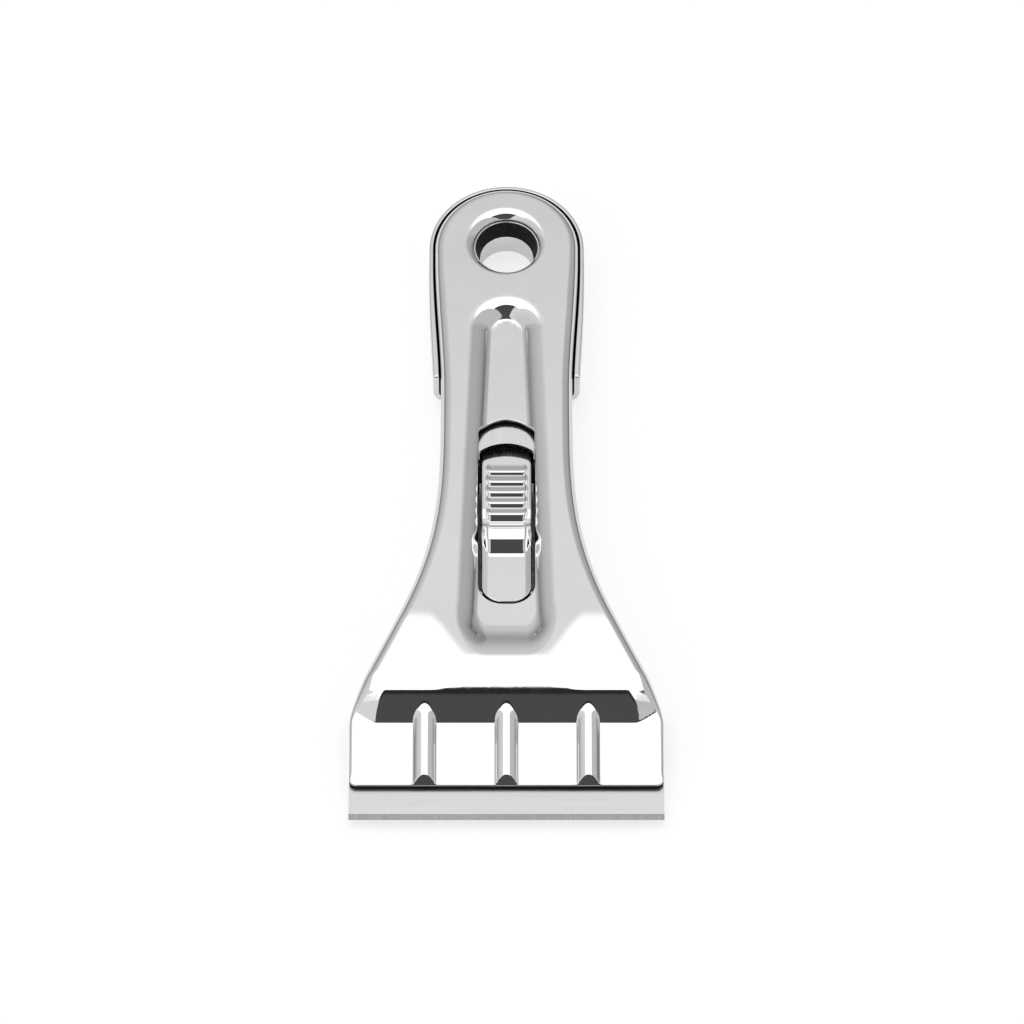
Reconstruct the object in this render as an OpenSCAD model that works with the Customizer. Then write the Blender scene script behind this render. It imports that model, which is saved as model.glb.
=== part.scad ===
// Retractable razor blade scraper in pressed, plated sheet steel.
// Millimetres, +Z up. X runs across the blade, the blade points to -Y and the head to +Y.
// The origin is on the table under the middle of the tool, with the blade out.
// Places along the tool are given as the distance s from the cutting edge.

/* [Overall] */
// Length from the cutting edge, blade out, to the end of the head
overall_len = 94; // [90:1:110]
// Height of the handle's top above the table
body_h = 6.8; // [6.6:0.1:8]
// Thickness of the sheet of both shells
sheet_t = 0.6; // [0.5:0.05:0.65]

/* [Head and handle] */
// Diameter of the upper shell's round head
head_d = 18.1; // [17:0.1:21]
// Width of the handle at its waist
waist_w = 16.7; // [16:0.1:18]
// Distance from the hanging hole to where the flare has run out into the waist
waist_reach = 23.05; // [22:0.05:27]
// Distance from the hanging hole to where the handle has widened again to the head
shoulder_reach = 4.05; // [4:0.05:8]
// Radius of the rounded top edge of the handle
handle_edge_r = 1.5; // [1:0.1:1.6]
// Height of the lower shell's wall round the head
wall_h = 5.2; // [4:0.1:5.4]
// Distance from the hanging hole to the wall's end on the handle
wall_reach = 20.25; // [16:0.05:22]
// Gap between the lower shell's wall and the upper shell
wall_gap = 0.3; // [0.2:0.05:0.5]

/* [Hanging hole] */
// Bore of the eyelet
hole_d = 6.8; // [6:0.1:7.2]
// Wall of the eyelet's barrel
eyelet_t = 0.45; // [0.35:0.05:0.5]
// Diameter of the hole in the upper shell, inside its rounded lip
lip_d = 8.12; // [7.9:0.02:8.6]
// Radius of the lip
lip_r = 0.8; // [0.7:0.05:1]

/* [Front] */
// How far the front plate stands out past each end of the blade
front_over = 0; // [0:0.1:1.5]
// Radius of the front plate's corners
corner_r = 1; // [0.6:0.1:1.6]
// Height of the front plate's edge above the table
front_h = 2.35; // [2.35:0.05:2.7]
// Length of the front plate, from its edge to the crease
plate_len = 8.3; // [7.5:0.1:9]
// Tilt of the front plate in degrees
plate_tilt = 9; // [8:0.5:11]
// Length of the slope from the crease to where it meets the handle's level
slope_len = 6.5; // [6:0.1:7]
// Steepness of the slope at the crease in degrees
slope_tilt = 34; // [30:1:38]
// Radius of the front plate's side edges
plate_edge_r = 0.5; // [0.4:0.05:0.6]
// Number of ribs on the front plate
rib_count = 3; // [1:1:3]
// Distance between ribs
rib_pitch = 10.15; // [8:0.05:12]
// Width of a rib
rib_w = 2.86; // [2.4:0.02:3.2]
// Height of a rib
rib_h = 0.8; // [0.6:0.05:1]
// Distance of the ribs' round ends from the plate's edge
rib_inset = 0.3; // [0.2:0.1:1.5]

/* [Channel and slot] */
// Depth of the channel in the handle
channel_depth = 1.4; // [1.1:0.1:1.5]
// Width of the channel at its head end
channel_rear_w = 9.9; // [9.4:0.1:10.2]
// Width of the channel at its blade end
channel_front_w = 13.2; // [12.8:0.1:13.6]
// Width of the channel's curved side walls
channel_run = 3.05; // [2.85:0.05:3.1]
// Blade end of the channel
channel_front_s = 20.6; // [20:0.2:22]
// Distance from the hanging hole to the channel's head end
channel_reach = 8.45; // [8:0.05:10]
// Width of the slot
slot_w = 7.1; // [6.9:0.05:7.3]
// Blade end of the slot
slot_front_s = 29.4; // [28.5:0.1:30.5]
// Radius of the corners at the slot's blade end
slot_corner_r = 3; // [2.5:0.1:3.2]
// Radius of the slot's arched head end
slot_arch_r = 4.1; // [3.9:0.1:5]

/* [Blade] */
// Width of the blade
blade_w = 39; // [37:0.5:42]
// Depth of the blade from its cutting edge to its back
blade_depth = 17; // [16.5:0.1:17.5]
// Thickness of the blade
blade_t = 0.3; // [0.2:0.02:0.32]
// How far the blade stands out of the body
blade_out = 4.4; // [3.8:0.1:4.8]
// Width of the ground bevels
bevel_w = 0.8; // [0.5:0.05:1.2]
// Length of the blade's full-width part, in front of its cut corners
blade_shoulder = 7.5; // [6:0.1:7.6]
// Travel of the blade when it is drawn in
travel = 5.2; // [4.9:0.1:5.4]

/* [Carriage] */
// Thickness of the carrier's sheet
carrier_t = 0.5; // [0.4:0.05:0.55]
// Width of the carrier's blade seat
seat_w = 32; // [28:0.5:33]
// Width of the carrier's strip in the handle
strip_w = 11.2; // [10.6:0.1:11.6]
// Height of the strip's underside above the table
strip_h = 3; // [2.9:0.05:3.1]
// Length of the flat strip
strip_len = 39.5; // [37:0.5:41]
// Distance between the two blade studs
stud_pitch = 14; // [12:0.5:16]
// Diameter of a blade stud
stud_d = 2.2; // [1.8:0.1:2.6]
// Thickness of the spring steel in the clamp and leaf springs
spring_t = 0.3; // [0.25:0.01:0.35]
// Diameter of the rivets
rivet_d = 1.5; // [1.2:0.1:1.6]

/* [Thumb button] */
// Width of the button
button_w = 6.16; // [5.8:0.02:6.3]
// Length of the button
button_len = 21.6; // [20.5:0.1:21.8]
// Height of the flat front pad above the table
pad_h = 5.6; // [5.5:0.05:5.8]
// Height of the ridges' valleys above the pad
grip_rise = 0.6; // [0.5:0.05:0.8]
// Height of a fine ridge above its valley
ridge_h = 0.55; // [0.4:0.05:0.7]
// Distance between fine ridges
ridge_pitch = 1.58; // [1.5:0.02:1.62]
// Number of fine ridges
ridge_count = 5; // [3:1:5]
// Height of the large ridge above the valleys
bump_h = 0.85; // [0.7:0.05:1]
// Width of the ridges
ridge_w = 5.1; // [4.6:0.1:5.4]
// Thickness of the button's walls
button_t = 0.6; // [0.5:0.05:0.65]
// Diameter of the button's pin
pin_d = 1; // [0.8:0.05:1]

/* [Hidden] */
$fn = 64;

// Clearances: sliding faces, pins that turn, pins that are held, seated faces
slide_gap = 0.15;
turn_gap = 0.05;
hold_gap = 0.02;
seat_gap = 0.05;
// Reach of a cutting shape past the faces that it cuts
cut = 1;

// Main places along the tool
head_r = head_d / 2;
wall_r = head_r + wall_gap + sheet_t;
head_s = overall_len - wall_r;
front_s = blade_out;
crease_s = front_s + plate_len;
crease_z = front_h + plate_len * tan(plate_tilt);
// Slope: its bend, and the soft brow that joins it to the handle, tighter at the sides
slope_bend = (tan(slope_tilt) - (body_h - crease_z) / slope_len) / slope_len;
brow_len = 2;
brow_s = crease_s + slope_len + brow_len;
climb_len = brow_s - crease_s;
brow_mid = 0.55;
brow_side = 0.2;
// Droop of the handle's sides towards the slope: its steepness, soft start and places
droop_tilt = 4.9;
droop_soft = 1;
droop_mid_s = brow_s - 0.8;
droop_side_s = brow_s + 5.6;
droop_x = 4;
droop_run = 6;
front_w = blade_w + 2 * front_over;
flare_end = head_s - waist_reach;
shoulder_s = head_s - shoulder_reach;
wall_end = head_s - wall_reach;
// Shape of the flare: its start behind the crease, and two exponents of its falling curve
flare_lead = 0.3;
flare_bend = 1.45;
flare_fall = 4;

// Levels of the carriage
seat_z = sheet_t + slide_gap;
blade_z = seat_z + carrier_t;
blade_top = blade_z + blade_t;
skirt_lift = blade_top + slide_gap;
// Where the skirts come down to the lower shell, behind the drawn-in blade's full width
blade_room = 1.5;
skirt_front = blade_shoulder + travel + blade_room;
skirt_down = 1.3;

// Channel: centres of its ends; the blade end is squarer and rises more softly. Its walls bend down
// over the first share of their width, and turn up to the floor over the rest.
channel_soft = 0.76;
channel_corner_r = 5;
channel_bend = 0.8;
channel_front_c = channel_front_s + channel_corner_r / channel_soft;
channel_rear_s = head_s - channel_reach;
channel_rear_c = channel_rear_s - channel_rear_w / 2;

// Button and slot: gap in front of the button, and room behind it when it is drawn back
button_gap = 0.3;
stop_gap = 0.7;
button_front = slot_front_s + button_gap;
button_rear = button_front + button_len;
slot_rear_s = button_rear + travel + stop_gap;
corner_gap = 0.4;
button_front_r = slot_corner_r - corner_gap;
// Arched head ends: the button's is flatter than the slot's, and both have small round corners
slot_end_r = 0.6;
button_arch_r = 7;
button_end_r = 0.75;
grip_h = pad_h + grip_rise;
// Button's underside: its skirt reaches into the strip's window, its pocket takes the spring
skirt_lap = 0.2;
skirt_z = strip_h + skirt_lap;
pocket_z = pad_h - button_t;
pocket_rear = 0.8;
pocket_w = button_w - 2 * button_t;
pocket_len = button_len - 2 * button_t - pocket_rear;
// Grip: flat pad, rise to the grip, large ridge, fine ridges with their share of the pitch
pad_len = 7.2;
rise_len = 2.2;
bump_back = 2;
bump_s = button_front + pad_len + bump_back;
bump_half = 0.6;
bump_front = 2.6;
bump_rear = 1.4;
bump_shoulder = 0.85;
ridge_inset = 2.5;
ridge_rear = 1;
ridge_half = ridge_pitch * 0.36;
ridge_root = 0.2;
ridge_profile = [[0.95, 0], [0.5, 0.8], [0, 1], [-0.5, 0.8], [-0.95, 0]];
// Rounded rear of the button: distance from its end, and drop below the grip
rear_round = [[-1, 1.3], [0.4, 0.25], [1.2, 0]];
// Stops at the button's sides, under the upper shell
stop_out = 0.9;
stop_len = 2.5;
stop_h = 0.45;
stop_inset = 3.3;
stop_root = 0.2;
// Pin, and the ears of the carrier that hold it
pin_inset = 1.8;
pin_s = button_front + pin_inset;
pin_z = strip_h + carrier_t + pin_d / 2 + slide_gap;
ear_t = 0.55;
ear_len = 1.9;
ear_gap = 0.5;
ear_rim = 0.2;
ear_x = slot_w / 2 + ear_gap;
ear_h = pin_d / 2 + ear_rim;

// Carrier strip: window for the button, and the joggles at both ends
joggle = 2.5;
foot_len = 2;
strip_lead = 5.2;
strip_front = button_front - strip_lead;
strip_rear = strip_front + strip_len;
seat_inset = 1.2;
seat_front = front_s + seat_inset;
seat_wide = 3.4;
seat_rear = strip_front - joggle;
seat_lap = 1;
window_lap = 0.1;
window_room = 2.9;
window_w = slot_w - 2 * window_lap;
window_front = slot_front_s - window_lap;
window_rear = button_rear + window_room;
window_front_r = 0.5;
window_arch_r = 5.5;
window_end_r = 0.5;
// Raised bridge of the strip behind the window, close under the channel's floor
bridge_rise = 1;
bridge_ramp = 0.7;
bridge_lead = 2.5;
bridge_len = 6.4;
bridge_front = window_rear - bridge_lead;
bridge_rear = bridge_front + bridge_len;
bridge_z = strip_h + bridge_rise;

// Clips: tongues of the lower shell that snap into windows in the upper shell's skirts
clip_front_gap = 14.3;
clip_rear_gap = 12;
clip_places = [crease_s + clip_front_gap, flare_end - clip_rear_gap];
clip_len = 5;
clip_h = 3;
catch_len = 3;
catch_h = 0.8;
catch_z = 1.9;
catch_out = 0.3;
// Guide lugs that stand up from the lower shell beside the strip
lug_front_gap = 15.5;
lug_rear_gap = 5;
lug_places = [strip_front + lug_front_gap, strip_rear - lug_rear_gap];
lug_len = 3.5;
lug_t = 0.6;

// Eyelet and the dish that it is rolled under
dish_rise = 0.5;
dish_room = 0.4;
dish_slope = 1.1;
dish_lap = 0.5;
flange_w = 1;
barrel_r = hole_d / 2 + eyelet_t;
flange_r = barrel_r + flange_w;
dish_r = flange_r + dish_room;
dish_foot_r = dish_r + dish_slope;
dish_rim_r = dish_foot_r + dish_lap;
lip_edge_z = body_h - sheet_t;
flare_z = lip_edge_z / 2;

// Blade clamp, studs and rivets
stud_back = 5.5;
stud_s = blade_shoulder + stud_back;
clamp_back = 2;
clamp_front = blade_shoulder + clamp_back;
clamp_tail = 3.4;
clamp_rear = blade_depth + clamp_tail;
clamp_side = 3;
clamp_w = stud_pitch + 2 * clamp_side;
clamp_rivet_back = 2.1;
clamp_rivet_s = blade_depth + clamp_rivet_back;
clamp_rivet_x = 4.5;
rivet_rim = 0.5;
rivet_head_r = rivet_d / 2 + rivet_rim;
rivet_head_t = 0.35;
rivet_hole_r = rivet_d / 2 + hold_gap;
stud_hole_r = stud_d / 2 + hold_gap;

// Leaf springs
spring_room = 0.3;
spring_w = pocket_w - 2 * spring_room;
spring_rivet_lead = 2.1;
spring_rivet_s = button_front - spring_rivet_lead;
spring_rivet_x = 1.9;
spring_root = 1.6;
detent_w = 6;
detent_inset = 4;
detent_s = window_rear - detent_inset;
detent_root_len = 5;
detent_root = strip_rear - detent_root_len;
detent_rivet_inset = 3.4;
detent_rivet_s = strip_rear - detent_rivet_inset;
detent_r = 1;
// Dimple of the detent: half its length and its rise, and the toe in front of it
dimple_half = 1;
dimple_rise = 0.25;
toe_len = 1.8;
toe_rise = 0.6;

// Smooth step from 0 to 1
function smooth(t) = let (c = min(max(t, 0), 1)) c * c * (3 - 2 * c);

function mix(a, b, t) = a + (b - a) * t;

// Places from a to b in n even steps, without a itself
function spread(a, b, n) = [for (k = [1:n]) mix(a, b, k / n)];

// Angles of a quarter turn in n even steps
function quarter(n) = [for (k = [1:n]) 90 * k / n];

// Half width of the upper shell at s, less an inset for its inside
function flare_half(s) = let (start = crease_s + flare_lead)
    let (u = min(max((s - start) / (flare_end - start), 0), 1))
    mix(waist_w / 2, front_w / 2, pow(1 - pow(u, flare_bend), flare_fall));

function corner_cut(s) = let (d = max(corner_r - (s - front_s), 0))
    corner_r - sqrt(max(corner_r * corner_r - d * d, 0));

function half_w(s) = s < flare_end
    ? flare_half(s) - corner_cut(s)
    : mix(waist_w / 2, head_r, smooth((s - flare_end) / (shoulder_s - flare_end)));

function half_at(s, inset) = s <= head_s
    ? half_w(s) - inset
    : sqrt(max(pow(head_r - inset, 2) - pow(s - head_s, 2), 0));

// The lower of two heights, with a fillet where they cross
function soft_min(a, b, reach) = let (h = min(max(0.5 + (b - a) / reach / 2, 0), 1))
    mix(b, a, h) - reach * h * (1 - h);

// Positive part of d, with a soft start
function soft_positive(d, reach) = d <= -reach ? 0 : d >= reach ? d : pow(d + reach, 2) / 4 / reach;

// Height of the slope, at u behind the crease
function slope_z(u) = u < slope_len
    ? crease_z + u * (tan(slope_tilt) - slope_bend * u)
    : body_h + (u - slope_len) * (tan(slope_tilt) - 2 * slope_bend * slope_len);

// Height of the handle, whose sides droop towards the slope
function side_share(x) = smooth((abs(x) - droop_x) / droop_run);

function handle_z(x, s) = let (start = mix(droop_mid_s, droop_side_s, side_share(x)))
    body_h - tan(droop_tilt) * soft_positive(start - s, droop_soft);

// Height of the top: tilted plate, curved slope, handle
function top_z(x, s) = s < crease_s
    ? front_h + (s - front_s) * tan(plate_tilt)
    : soft_min(slope_z(s - crease_s), handle_z(x, s), mix(brow_mid, brow_side, side_share(x)));

// Rounding of the top edges
function edge_r(s) = mix(plate_edge_r, handle_edge_r, smooth((s - crease_s) / climb_len));

function edge_gap(x, s, inset) = s <= head_s
    ? half_at(s, inset) - abs(x)
    : head_r - inset - norm([x, s - head_s]);

function edge_drop(d, r) = d >= r ? 0 : r - sqrt(max(r * r - pow(r - max(d, 0), 2), 0));

// Depth of the channel: tapered, round at the head end, with curved walls
function channel_half(s) = mix(channel_front_w, channel_rear_w,
    (s - channel_front_c) / (channel_rear_c - channel_front_c)) / 2;

function wall_drop(t) = t <= 0 ? 0 : t >= 1 ? 1
    : t < channel_bend ? t * t / channel_bend : 1 - pow(1 - t, 2) / (1 - channel_bend);

function channel_drop(x, s) = let (c = min(max(s, channel_front_c), channel_rear_c))
    let (half = channel_half(c))
    let (r = s > channel_front_c ? half : channel_corner_r)
    let (ds = s < c ? (c - s) * channel_soft : s - c)
    channel_depth * wall_drop((r - norm([max(abs(x) - half + r, 0), ds])) / channel_run);

// Ribs: half-round bars that lie on the tilted plate, round at the front, and run into the slope
rib_bar_r = (rib_w * rib_w / 4 + rib_h * rib_h) / 2 / rib_h;
rib_start = front_s + rib_inset + rib_w / 2;
rib_places = [for (k = [0:rib_count - 1]) (k - (rib_count - 1) / 2) * rib_pitch];

function rib_bulge(d) = sqrt(max(rib_bar_r * rib_bar_r - d * d, 0)) - rib_bar_r + rib_h;

function rib_z(x, s) = let (near = min([for (place = rib_places) abs(x - place)]))
    let (d = norm([near, min(s - rib_start, 0)]))
    d < rib_w / 2 && s < brow_s ? front_h + (s - front_s) * tan(plate_tilt) + rib_bulge(d) : 0;

// Height of the upper shell's outer face (inset 0) or inner face (inset sheet_t)
least_r = 0.1;

function shell_z(x, s, inset) = max(top_z(x, s) - channel_drop(x, s)
    - edge_drop(edge_gap(x, s, inset), max(edge_r(s) - inset, least_r)), rib_z(x, s)) - inset;

function skirt_bottom(s) = mix(skirt_lift, sheet_t, smooth((s - skirt_front) / skirt_down));

// Stations along the shell, and the turns of the round head
stations = concat(
    [front_s],
    spread(front_s, front_s + rib_inset, 3),
    [for (turn = quarter(4)) front_s + rib_inset + rib_w / 2 * (1 - cos(turn))],
    spread(rib_start, crease_s, 3),
    spread(crease_s, brow_s, 10),
    spread(brow_s, channel_front_c, 6),
    spread(channel_front_c, channel_rear_c, 11),
    spread(channel_rear_c, channel_rear_s, 6),
    spread(channel_rear_s, head_s, 3));
head_turns = [14, 28, 42, 54, 64, 72, 79, 84.5, 88];

function station_s(k, inset) = k < len(stations)
    ? stations[k]
    : head_s + (head_r - inset) * sin(head_turns[k - len(stations)]);

station_count = len(stations) + len(head_turns);

// Points across one half of a section. On the front plate they follow the ribs, and on the handle
// the channel's wall; both end close together at the rounded edge.
rib_steps = [0, 0.4, 0.8, 1];
side_rib_steps = [-1, -0.75, -0.3, 0.3, 0.75, 1];
plate_steps = [0.6, 0.9, 0.97, 1];
channel_steps = [0, 0.42, 0.56, 0.68, 0.8, 0.92, 1.04];
edge_steps = [0.25, 0.45, 0.62, 0.77, 0.88, 0.96, 1];
// Last of the channel's steps, just outside its wall, and the most of the half width that it may take
channel_last = channel_steps[len(channel_steps) - 1];
channel_share = 0.6;

function plate_row(h) = let (first = rib_w / 2)
    let (c = min(rib_pitch, h - 2 * first))
    concat([for (f = rib_steps) f * first], [for (f = side_rib_steps) c + f * first],
        [for (f = plate_steps) mix(c + first, h, f)]);

function handle_row(s, h) = let (wall = channel_half(min(max(s, channel_front_c), channel_rear_c)))
    let (c = min(wall, h * channel_share))
    concat([for (f = channel_steps) f * c], [for (f = edge_steps) mix(c * channel_last, h, f)]);

function half_row(s, inset) = let (h = half_at(s, inset))
    let (t = smooth((s - crease_s - climb_len / 4) / climb_len * 2))
    t <= 0 ? plate_row(h) : t >= 1 ? handle_row(s, h) : mix(plate_row(h), handle_row(s, h), t);

// One section, from the right skirt's foot over the top to the left skirt's foot
function section(s, inset) = let (row = half_row(s, inset))
    let (last = len(row) - 1)
    let (foot = skirt_bottom(s))
    concat(
        [[row[last], s, foot]],
        [for (k = [last:-1:0]) [row[k], s, max(shell_z(row[k], s, inset), foot + least_h)]],
        [for (k = [1:last]) [-row[k], s, max(shell_z(row[k], s, inset), foot + least_h)]],
        [[-row[last], s, foot]]);

row_len = 2 * (len(channel_steps) + len(edge_steps)) + 1;
// Least height of the skirts' inside at the front edge
least_h = 0.02;

// Faces of the closed skin between the outer and the inner sections
function at(k, j, side) = (side * station_count + k) * row_len + j;

function quad(a, b, c, d) = [[a, b, c], [a, c, d]];

function skin_faces() = let (n = station_count - 1)
    let (m = row_len - 1)
    [for (f = concat(
        [for (k = [0:n - 1], j = [0:m - 1])
            quad(at(k, j, 0), at(k + 1, j, 0), at(k + 1, j + 1, 0), at(k, j + 1, 0))],
        [for (k = [0:n - 1], j = [0:m - 1])
            quad(at(k, j, 1), at(k, j + 1, 1), at(k + 1, j + 1, 1), at(k + 1, j, 1))],
        [for (k = [0:n - 1]) quad(at(k, 0, 0), at(k, 0, 1), at(k + 1, 0, 1), at(k + 1, 0, 0))],
        [for (k = [0:n - 1]) quad(at(k, m, 0), at(k + 1, m, 0), at(k + 1, m, 1), at(k, m, 1))],
        [for (j = [0:m - 1]) quad(at(0, j, 0), at(0, j + 1, 0), at(0, j + 1, 1), at(0, j, 1))],
        [quad(at(n, 0, 0), at(n, 0, 1), at(n, m, 1), at(n, m, 0))]), t = f) t];

function end_face(side) = let (m = row_len - 1)
    [for (j = [1:m - 1]) side == 0
        ? [at(station_count - 1, 0, 0), at(station_count - 1, j + 1, 0), at(station_count - 1, j, 0)]
        : [at(station_count - 1, 0, 1), at(station_count - 1, j, 1), at(station_count - 1, j + 1, 1)]];

module shell_skin() {
    points = [for (side = [0, 1], k = [0:station_count - 1], p = section(station_s(k, side * sheet_t),
        side * sheet_t)) p];
    polyhedron(points, concat(skin_faces(), end_face(0), end_face(1)), convexity = 8);
}

// Places a shape given in s so that the origin is under the middle of the tool
module placed() {
    translate([0, -overall_len / 2, 0]) children();
}

// Round hole or pin through a level sheet
module upright(x, s, r, z0, z1) {
    translate([x, s, z0]) cylinder(r = r, h = z1 - z0);
}

// Points of an arc about (x, s), between two angles
function arc_at(x, s, r, a0, a1, n) =
    [for (k = [0:n]) let (a = mix(a0, a1, k / n)) [x + r * cos(a), s + r * sin(a)]];

// Strip from s0 to s1 on the tool's middle line, with round corners at its blade end and an arched head end
module arched_strip(w, s0, s1, front_r, arch_r, end_r) {
    end_x = w / 2 - end_r;
    end_s = sqrt(pow(arch_r - end_r, 2) - end_x * end_x);
    turn = atan2(end_s, end_x);
    centre_s = s1 - arch_r;
    right = concat(
        arc_at(w / 2 - front_r, s0 + front_r, front_r, -90, 0, 10),
        arc_at(end_x, centre_s + end_s, end_r, 0, turn, 4),
        [for (k = [1:8]) let (a = mix(turn, 90, k / 8)) [arch_r * cos(a), centre_s + arch_r * sin(a)]]);
    last = len(right) - 1;
    polygon(concat(right, [for (k = [last - 1:-1:0]) [-right[k][0], right[k][1]]]));
}

// Side profile in s and height, spread across the tool
module across(w, points) {
    translate([w / 2, 0, 0]) rotate([90, 0, -90]) linear_extrude(w) polygon([for (p = points) [-p[0], p[1]]]);
}

// Plan region along one edge of the shell, between two insets
module edge_band(s0, s1, outer, inner) {
    steps = 6;
    polygon(concat(
        [for (k = [0:steps]) let (s = mix(s0, s1, k / steps)) [half_w(s) - outer, s]],
        [for (k = [steps:-1:0]) let (s = mix(s0, s1, k / steps)) [half_w(s) - inner, s]]));
}

module both_sides() {
    children();
    mirror([1, 0, 0]) children();
}

// Upper shell

module slot_cut() {
    translate([0, 0, skirt_lift]) linear_extrude(body_h)
        arched_strip(slot_w, slot_front_s, slot_rear_s, slot_corner_r, slot_arch_r, slot_end_r);
}

// Hanging hole with the round of its lip
module lip_cut() {
    steps = 8;
    centre_r = lip_d / 2 + lip_r;
    centre_z = body_h - lip_r;
    translate([0, head_s, 0]) rotate_extrude() polygon(concat(
        [[0, body_h + cut], [0, centre_z - cut], [lip_d / 2, centre_z - cut]],
        [for (k = [steps:-1:0]) let (a = 90 + k * 90 / steps)
            [centre_r + lip_r * cos(a), centre_z + lip_r * sin(a)]],
        [[centre_r, body_h + cut]]));
}

// Window in a skirt for one clip
module clip_window(place) {
    half = catch_len / 2 + slide_gap;
    translate([0, 0, catch_z - slide_gap]) linear_extrude(catch_h + 2 * slide_gap)
        edge_band(place - half, place + half, -cut, sheet_t + cut);
}

module upper_shell() {
    color("gainsboro") placed() difference() {
        shell_skin();
        slot_cut();
        lip_cut();
        both_sides() for (place = clip_places) clip_window(place);
    }
}

// Lower shell

// Plan of the head and upper handle, grown by an offset from the upper shell
module head_plan(grow, s0) {
    steps = 12;
    rows = [for (k = [0:steps]) mix(s0, head_s, k / steps)];
    translate([0, head_s]) circle(r = head_r + grow);
    polygon(concat(
        [for (s = rows) [half_w(s) + grow, s]],
        [for (k = [steps:-1:0]) [-half_w(rows[k]) - grow, rows[k]]]));
}

// Plan of the front and lower handle, flush with the upper shell
module front_plan() {
    inset = 0.5;
    rows = concat(
        [front_s + inset],
        [for (turn = quarter(4)) front_s + inset + corner_r * (1 - cos(turn))],
        [crease_s],
        spread(crease_s, wall_end + cut, 24));
    last = len(rows) - 1;
    polygon(concat(
        [for (s = rows) [half_w(max(s - inset, front_s)), s]],
        [for (k = [last:-1:0]) [-half_w(max(rows[k] - inset, front_s)), rows[k]]]));
}

// Dish round the eyelet: the sheet is raised so that the eyelet's flange stays off the table
module eyelet_dish() {
    hole_r = barrel_r + 2 * seat_gap;
    translate([0, head_s, 0]) rotate_extrude() polygon([
        [hole_r, dish_rise], [dish_r, dish_rise], [dish_foot_r, 0], [dish_rim_r, 0],
        [dish_rim_r, sheet_t], [dish_foot_r, sheet_t], [dish_r, dish_rise + sheet_t],
        [hole_r, dish_rise + sheet_t]]);
}

// One clip: an upright tongue inside the upper shell's skirt, with a catch on its outside
module clip(place) {
    inner = sheet_t + slide_gap;
    linear_extrude(clip_h)
        edge_band(place - clip_len / 2, place + clip_len / 2, inner, inner + sheet_t);
    translate([0, 0, catch_z]) linear_extrude(catch_h)
        edge_band(place - catch_len / 2, place + catch_len / 2, sheet_t - catch_out, inner + sheet_t / 2);
}

module guide_lug(place) {
    translate([strip_w / 2 + slide_gap, place - lug_len / 2, 0])
        cube([lug_t, lug_len, strip_h + carrier_t]);
}

module lower_shell() {
    color("silver") placed() {
        difference() {
            union() {
                linear_extrude(sheet_t) front_plan();
                linear_extrude(sheet_t) head_plan(wall_gap + sheet_t, wall_end);
            }
            upright(0, head_s, dish_rim_r, -cut, sheet_t + cut);
            for (s = [detent_s, detent_s + travel]) upright(0, s, detent_r, -cut, sheet_t + cut);
        }
        difference() {
            linear_extrude(wall_h) head_plan(wall_gap + sheet_t, wall_end);
            translate([0, 0, -cut]) linear_extrude(wall_h + 2 * cut) head_plan(wall_gap, wall_end - cut);
        }
        eyelet_dish();
        both_sides() {
            for (place = clip_places) clip(place);
            for (place = lug_places) guide_lug(place);
        }
    }
}

// Eyelet

module hanging_eyelet() {
    bore_r = hole_d / 2;
    top_z = lip_edge_z - seat_gap;
    top_r = lip_d / 2 - seat_gap;
    flange_t = dish_rise - 2 * seat_gap;
    color("gray") placed() translate([0, head_s, 0]) rotate_extrude() polygon([
        [bore_r, seat_gap], [flange_r, seat_gap], [flange_r, seat_gap + flange_t],
        [barrel_r, seat_gap + flange_t], [barrel_r, flare_z], [top_r + eyelet_t, top_z], [top_r, top_z],
        [bore_r, flare_z]]);
}

// Carriage

module seat_plan() {
    polygon([
        [-seat_w / 2, seat_front], [seat_w / 2, seat_front], [seat_w / 2, seat_front + seat_wide],
        [strip_w / 2, seat_rear], [-strip_w / 2, seat_rear], [-seat_w / 2, seat_front + seat_wide]]);
}

module blade_carrier() {
    low = seat_z;
    high = strip_h;
    run = [[seat_rear - seat_lap, low], [seat_rear, low], [strip_front, high],
        [bridge_front - bridge_ramp, high], [bridge_front, bridge_z], [bridge_rear, bridge_z],
        [bridge_rear + bridge_ramp, high], [strip_rear, high],
        [strip_rear + joggle, low], [strip_rear + joggle + foot_len, low]];
    last = len(run) - 1;
    color("lightgray") placed() {
        difference() {
            union() {
                translate([0, 0, low]) linear_extrude(carrier_t) seat_plan();
                across(strip_w, concat(run, [for (k = [last:-1:0]) run[k] + [0, carrier_t]]));
            }
            translate([0, 0, high - cut]) linear_extrude(carrier_t + bridge_rise + 2 * cut)
                arched_strip(window_w, window_front, window_rear, window_front_r, window_arch_r,
                    window_end_r);
            for (side = [-1, 1]) {
                upright(side * stud_pitch / 2, stud_s, stud_hole_r, low - cut, low + carrier_t + cut);
                upright(side * clamp_rivet_x, clamp_rivet_s, rivet_hole_r, low - cut,
                    low + carrier_t + cut);
                upright(side * spring_rivet_x, spring_rivet_s, rivet_hole_r, high - cut,
                    high + carrier_t + cut);
                upright(side * spring_rivet_x, detent_rivet_s, rivet_hole_r, high - cut,
                    high + carrier_t + cut);
            }
        }
        both_sides() difference() {
            translate([ear_x, pin_s - ear_len / 2, strip_h + carrier_t / 2])
                cube([ear_t, ear_len, pin_z + ear_h - strip_h - carrier_t / 2]);
            translate([ear_x - cut, pin_s, pin_z]) rotate([0, 90, 0])
                cylinder(r = pin_d / 2 + hold_gap, h = ear_t + 2 * cut);
        }
    }
}

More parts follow.
